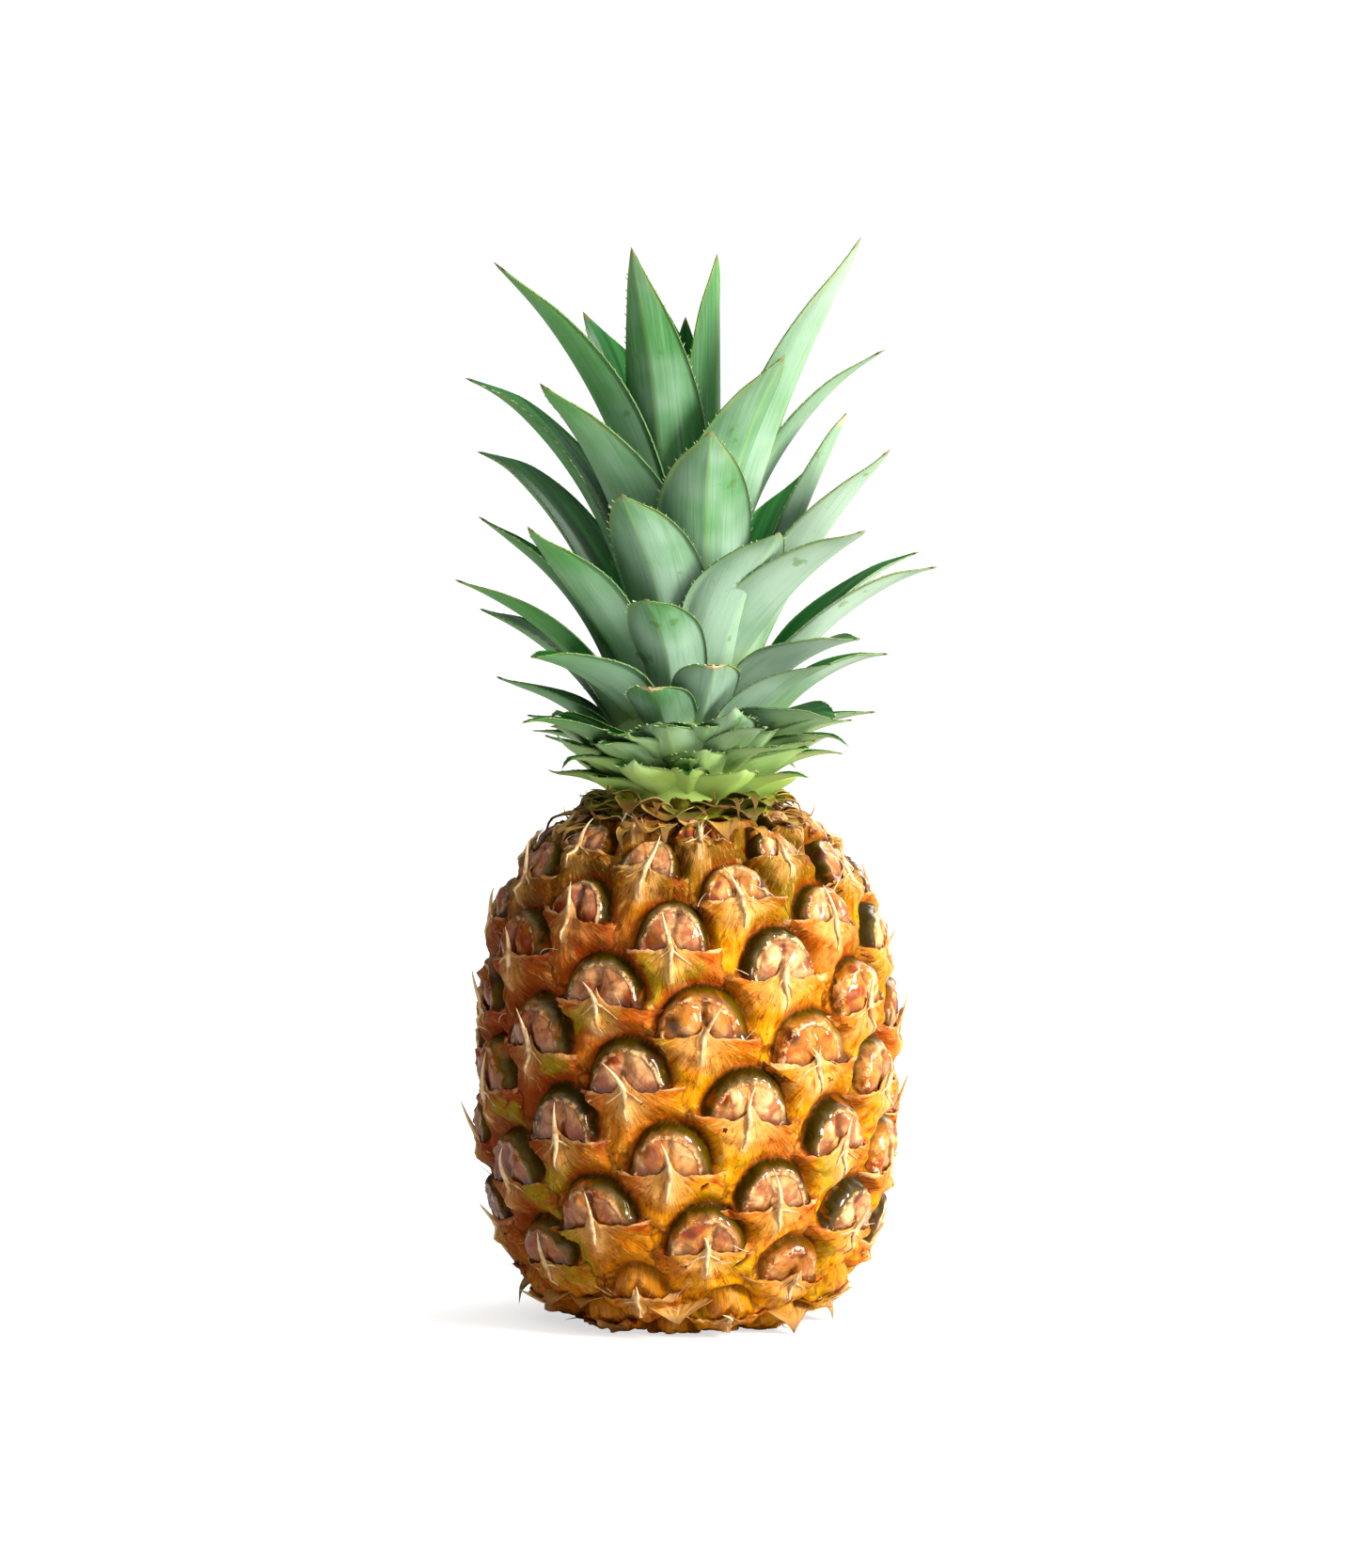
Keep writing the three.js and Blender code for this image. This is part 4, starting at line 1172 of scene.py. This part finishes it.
def leafMaterial():
    graph = Shader("crownLeaves", leafLook)
    across, t, tone, face = graph.values("across", "along", "tone", "face")
    offset, young = graph.values("offset", "young")
    lines = graph.grain(offset * 0.55, t * 1.6, tone * 7, 1, 0.5)
    fineLines = graph.grain(offset * 1.1, t * 3, tone * 11, 1, 0.5)
    fibres = graph.grain(offset * 3.4, t * 6, tone * 5, 2, 0.6)
    clouds = graph.noise(26, 3, 0.5)
    edge = abs(across)
    x, _, z = graph.split(graph.place())
    lowest = (z + clouds * 0.03).stretch(0.182, 0.158)
    dull = (z + clouds * 0.03).stretch(0.173, 0.160) * tone.stretch(-0.1, -0.6)
    back = graph.layers(
        "back",
        ((clouds + tone * 0.06).stretch(0.36, 0.62), "bloom"),
        (lines.stretch(0.48, 0.30) * 0.17, "deep"),
        (fineLines.stretch(0.52, 0.72) * 0.22, "bloom"),
        (fibres.stretch(0.50, 0.72) * 0.26, "chalkAndLight"),
        (fibres.stretch(0.48, 0.28) * 0.20, "deep"),
        ((edge + clouds * 0.2).stretch(0.62, 1.1) * (0.48 - young * 0.3), "deep"),  # the rim
        ((t + clouds * 0.3).stretch(0.60, 1.25) * (0.50 - young * 0.45), "deep"),
        # painted light: paler on the side that faces the key light
        ((x + clouds * 0.02).stretch(0.012, 0.060) * 0.45, "chalkAndLight"),
        # painted shade: deeper, more saturated green on the side away from the key light
        ((x + clouds * 0.02).stretch(0.010, -0.040) * 0.55, "fresh"),
        (t.stretch(0.30, 0.05) * 0.5, "foot"),
        ((z + clouds * 0.02).stretch(0.192, 0.160) * 0.66, "foot"),
        (lowest * (tone.stretch(0.1, 0.7) * 0.4 + 0.45), "lime"),
        (dull * 0.45, "margin"),
    )
    front = graph.layers("innerDeep", (lines.stretch(0.35, 0.65), "inner"))
    ragged = (edge + (fineLines - 0.5) * 0.08).stretch(0.92, 0.99)
    ripe = (edge * 0.6 + t * 0.8 + (clouds - 0.5) * 0.5).stretch(1.08, 1.36) * (1 - face)
    keel = abs(offset + clouds * 0.5 - 0.25).stretch(0.7, 0.1)
    broken = graph.value("blunt") * (t + lines * 0.05).stretch(0.89, 0.94)
    shade = graph.layers(
        graph.blend(face, back, front),
        (ragged * (clouds * 0.4 + 0.05), "margin"),
        (ripe * 0.42, "ripe"),
        (keel * 0.18 * (1 - face), "lime"),
        (graph.noise(110, 3, 0.6).stretch(0.64, 0.72) * 0.55, "spot"),
        ((t + lines * 0.03).stretch(0.975, 1.01) * 0.7, "dry"),
        (broken * 0.85, "torn"),
    )
    height = lines * 0.6 + fineLines * 0.3 + fibres * 0.35
    return graph.finish(
        Base_Color=shade,
        Roughness=0.54 - face * 0.16 + (clouds - 0.5) * 0.1,
        Normal=graph.bump(height, 0.22, 0.0005),
        Specular_IOR_Level=0.22,
    )


def along(anchors, at):
    return float(np.interp(at, *zip(*anchors)))


def crownLeaf(number):
    age = number / (crown["count"] - 1)
    late = smooth(age, 0.45, 0.8)
    share = (1 - age) ** crown["crowding"]
    rootHeight = lerp(crown["lowestRoot"], crown["highestRoot"], share)
    slimness = 1
    if number in strayLeaves:
        azimuth, tipRadius, tipHeight, arch, slimness = (*strayLeaves[number], 1)[:5]
    else:
        azimuth = crown["firstAzimuth"] - number * crown["divergence"] + 4 * jitter(number, 4)
        tipRadius = along(tipRadii, number) * (1 + 0.06 * jitter(number, 5))
        tipHeight = along(tipHeights, number) + 1.5 * jitter(number, 6)
        arch = crown["arch"]
    return {
        "number": number, "azimuth": azimuth, "rows": crown["rows"], "columns": crown["columns"],
        "rootRadius": max(along(stem["outline"], rootHeight) - crown["sink"], 0.5),
        "rootHeight": rootHeight, "tipRadius": tipRadius, "tipHeight": tipHeight, "arch": arch,
        "width": along(leafWidths, number) * slimness,
        "thickness": lerp(crown["thickness"], crown["lowestThickness"], age),
        "channel": lerp(crown["channel"], crown["lowestChannel"], age),
        "rootShare": lerp(0.6, 0.8, age), "fullest": lerp(0.5, 0.32, late),
        "bluntness": roundLeaves.get(number, lerp(1.9, 1.35, late)),
        "end": bluntLeaves.get(number, 1.0), "young": age,
    }


def makeCrown():
    bundle, thorns, sides = Bundle(), [], stem["sides"]
    for number in range(crown["count"]):
        addLeaf(bundle, {**crownLeaf(number), "thorns": thorns})
    addLeaves(bundle, neckLeaves, thorns=thorns)
    addLeaves(bundle, slimLeaves, thorns=thorns)
    outline = [stem["foot"], *stem["outline"], stem["head"]]
    points = turnedRings([(radius, height) for height, radius in outline], sides)
    start = bundle.addGrid(points, plainValues(0.3, 0.12), closed=True)
    bundle.addDisc(start, sides, flip=True)
    bundle.addDisc(bundle.count - sides, sides)
    piece = bundle.piece("crownLeaves", leafMaterial(), "leaf")
    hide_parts("crown")
    growStrands("leafThorns", thorns, thorn, "crown")


collar = {
    "count": 21, "number": 100, "azimuth": 0, "rows": 12, "columns": 11, "rootRadius": 21.9,
    "rootHeight": 146.8, "tipRadius": 31, "tipHeight": 148.5, "arch": 0.20, "width": 15,
    "thickness": 0.9, "channel": 0.35, "rootShare": 0.9, "fullest": 0.35, "hook": 0.3,
    "keel": 0.1, "bluntness": 2.6,
    "spreads": [("tipRadius", 2, 7), ("tipHeight", 2.5, 8), ("width", 1, 9)],
}
tuckedBracts = {  # smaller dry ones between
    "count": 34, "number": 140, "azimuth": 40, "rows": 10, "columns": 7, "rootRadius": 22,
    "rootHeight": 146.0, "tipRadius": 31, "tipHeight": 149.0, "arch": 0.25, "width": 6,
    "thickness": 0.6, "channel": 0.35, "rootShare": 0.9, "fullest": 0.3, "hook": 0.5,
    "keel": 0.05,
    "spreads": [
        ("rootRadius", 3, 91), ("rootHeight", -0.5, 91), ("tipRadius", 4, 92),
        ("tipHeight", 3.5, 93), ("arch", 0.15, 94), ("width", 2, 95),
    ],
}
flatBracts = {  # and flat ones lying on the shoulder
    **tuckedBracts, "count": 28, "number": 180, "azimuth": 15, "rootRadius": 27.5,
    "rootHeight": 143.4, "tipRadius": 39, "tipHeight": 142.5, "arch": 0.16, "width": 6.5,
    "channel": 0.3, "rootShare": 0.8, "fullest": 0.35, "hook": 0.7, "young": 1.0,
    "spreads": [
        ("rootRadius", 3, 101), ("rootHeight", -1.2, 101), ("tipRadius", 4, 101),
        ("tipRadius", 2, 102), ("tipHeight", -2.2, 101), ("tipHeight", 1.5, 103),
        ("arch", 0.1, 104), ("width", 2, 105),
    ],
}
collarRing = {
    "sides": 64,
    "profile": [
        (19.5, 142.6), (25.8, 142.6), (25.8, 146.3), (24.2, 147.4), (20.8, 147.6), (19.5, 147.6),
    ],
}
collarLook = {
    "olive": "5e6414", "lime": "b8c82c", "tan": "bc842c", "brown": "6e3e0e", "pale": "deb870",
}


def collarMaterial():
    graph = Shader("collarBracts", collarLook)
    across, t, tone, flat = graph.values("across", "along", "tone", "young")
    lines = graph.grain(across * 12, t * 2, tone * 7, 3, 0.65)
    clouds = graph.noise(90, 3, 0.5)
    brownness = (graph.noise(45, 2, 0.5) + t * 0.15).stretch(0.52, 0.74)
    shade = graph.layers(
        "olive",
        ((clouds + tone * 0.12).stretch(0.40, 0.60), "lime"),
        ((tone * 0.5 + clouds).stretch(0.72, 0.96) * 0.8, "tan"),
        (flat * (clouds + tone * 0.15).stretch(0.20, 0.45), "tan"),
        ((1 - flat) * brownness * 0.7, "brown"),
        (flat * (lines + tone * 0.1).stretch(0.52, 0.66) * 0.7, "pale"),
        (lines.stretch(0.46, 0.30) * 0.45, "brown"),
        (abs(across).stretch(0.82, 0.98) * 0.5, "pale"),
        ((t + lines * 0.2).stretch(0.80, 1.10) * 0.7, "brown"),
    )
    return graph.finish(
        Base_Color=shade,
        Roughness=lines.stretch(0.3, 0.7, 0.5, 0.72),
        Normal=graph.bump(lines, 0.5, 0.0005),
    )


def makeCollar(material):
    bundle = Bundle()
    for kind in (collar, tuckedBracts, flatBracts):
        addLeaves(bundle, kind)
    profile = collarRing["profile"]
    points = turnedRings(profile + profile[:1], collarRing["sides"], ((0.012, 17),), ((0.3, 11),))
    bundle.addGrid(points, plainValues(0.2, 0.2), closed=True)
    piece = bundle.piece("collarBracts", material, "dry_bract")
    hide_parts("collar_bracts")


baseFlaps = {  # dry bracts that stand out round the foot; tips are measured from the roots
    "count": 9, "number": 240, "azimuth": -58, "rows": 12, "columns": 11, "rootHeight": 9.5,
    "sink": 2.5, "tipReach": 7.0, "tipRise": -3.5, "arch": 0.16, "width": 21, "thickness": 0.6,
    "channel": 0.25, "rootShare": 0.95, "fullest": 0.2, "hook": 0.25, "keel": 0.1,
    "bluntness": 1.3, "young": 1.0,
}


def makeBaseFlaps(material):
    bundle = Bundle()
    for k in range(baseFlaps["count"]):
        height = baseFlaps["rootHeight"] + 3.5 * jitter(k, 111)
        root = float(np.interp(height, heightTable, radiusTable)) - baseFlaps["sink"]
        addLeaf(bundle, {
            **baseFlaps,
            "number": baseFlaps["number"] + k,
            "azimuth": baseFlaps["azimuth"] + k * crown["divergence"] + 8 * jitter(k, 112),
            "rootRadius": root,
            "rootHeight": height,
            "tipRadius": root + baseFlaps["tipReach"] * (1 + 0.25 * jitter(k, 113)),
            "tipHeight": height + baseFlaps["tipRise"] + 2.5 * jitter(k, 114),
            "width": baseFlaps["width"] * (1 + 0.25 * jitter(k, 115)),
        })
    piece = bundle.piece("baseFlaps", material, "dry_bract")
    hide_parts("fruit")


def makeFloor():
    graph = Shader("floor")
    seen = graph.add("ShaderNodeLightPath", {}, {}, "Is Camera Ray")
    material = graph.finish(
        Base_Color=(room["floor"],) * 3,
        Roughness=0.9,
        Specular_IOR_Level=0.0,
        Emission_Color=graph.blend(seen, (0, 0, 0), (1, 1, 1)),
        Emission_Strength=room["floorGlow"],
    )
    reach = room["floorReach"]
    corners = [(-reach, -reach, 0), (reach, -reach, 0), (reach, reach, 0), (-reach, reach, 0)]
    mesh = bpy.data.meshes.new("floor")
    mesh.from_pydata(corners, [], [(0, 1, 2, 3)])
    mesh.materials.append(material)
    floor = placed("floor", mesh)
    floor.location.z = room["floorHeight"]
    print("floor is laid")


makeFloor()
makeRind()
makeLips()
growStrands("spines", spineStrands(), spine, "fruit")
growStrands("hairs", hairStrands(), hair, "fruit")
makeStalk()
makeCrown()
dryBract = collarMaterial()
makeCollar(dryBract)
makeBaseFlaps(dryBract)
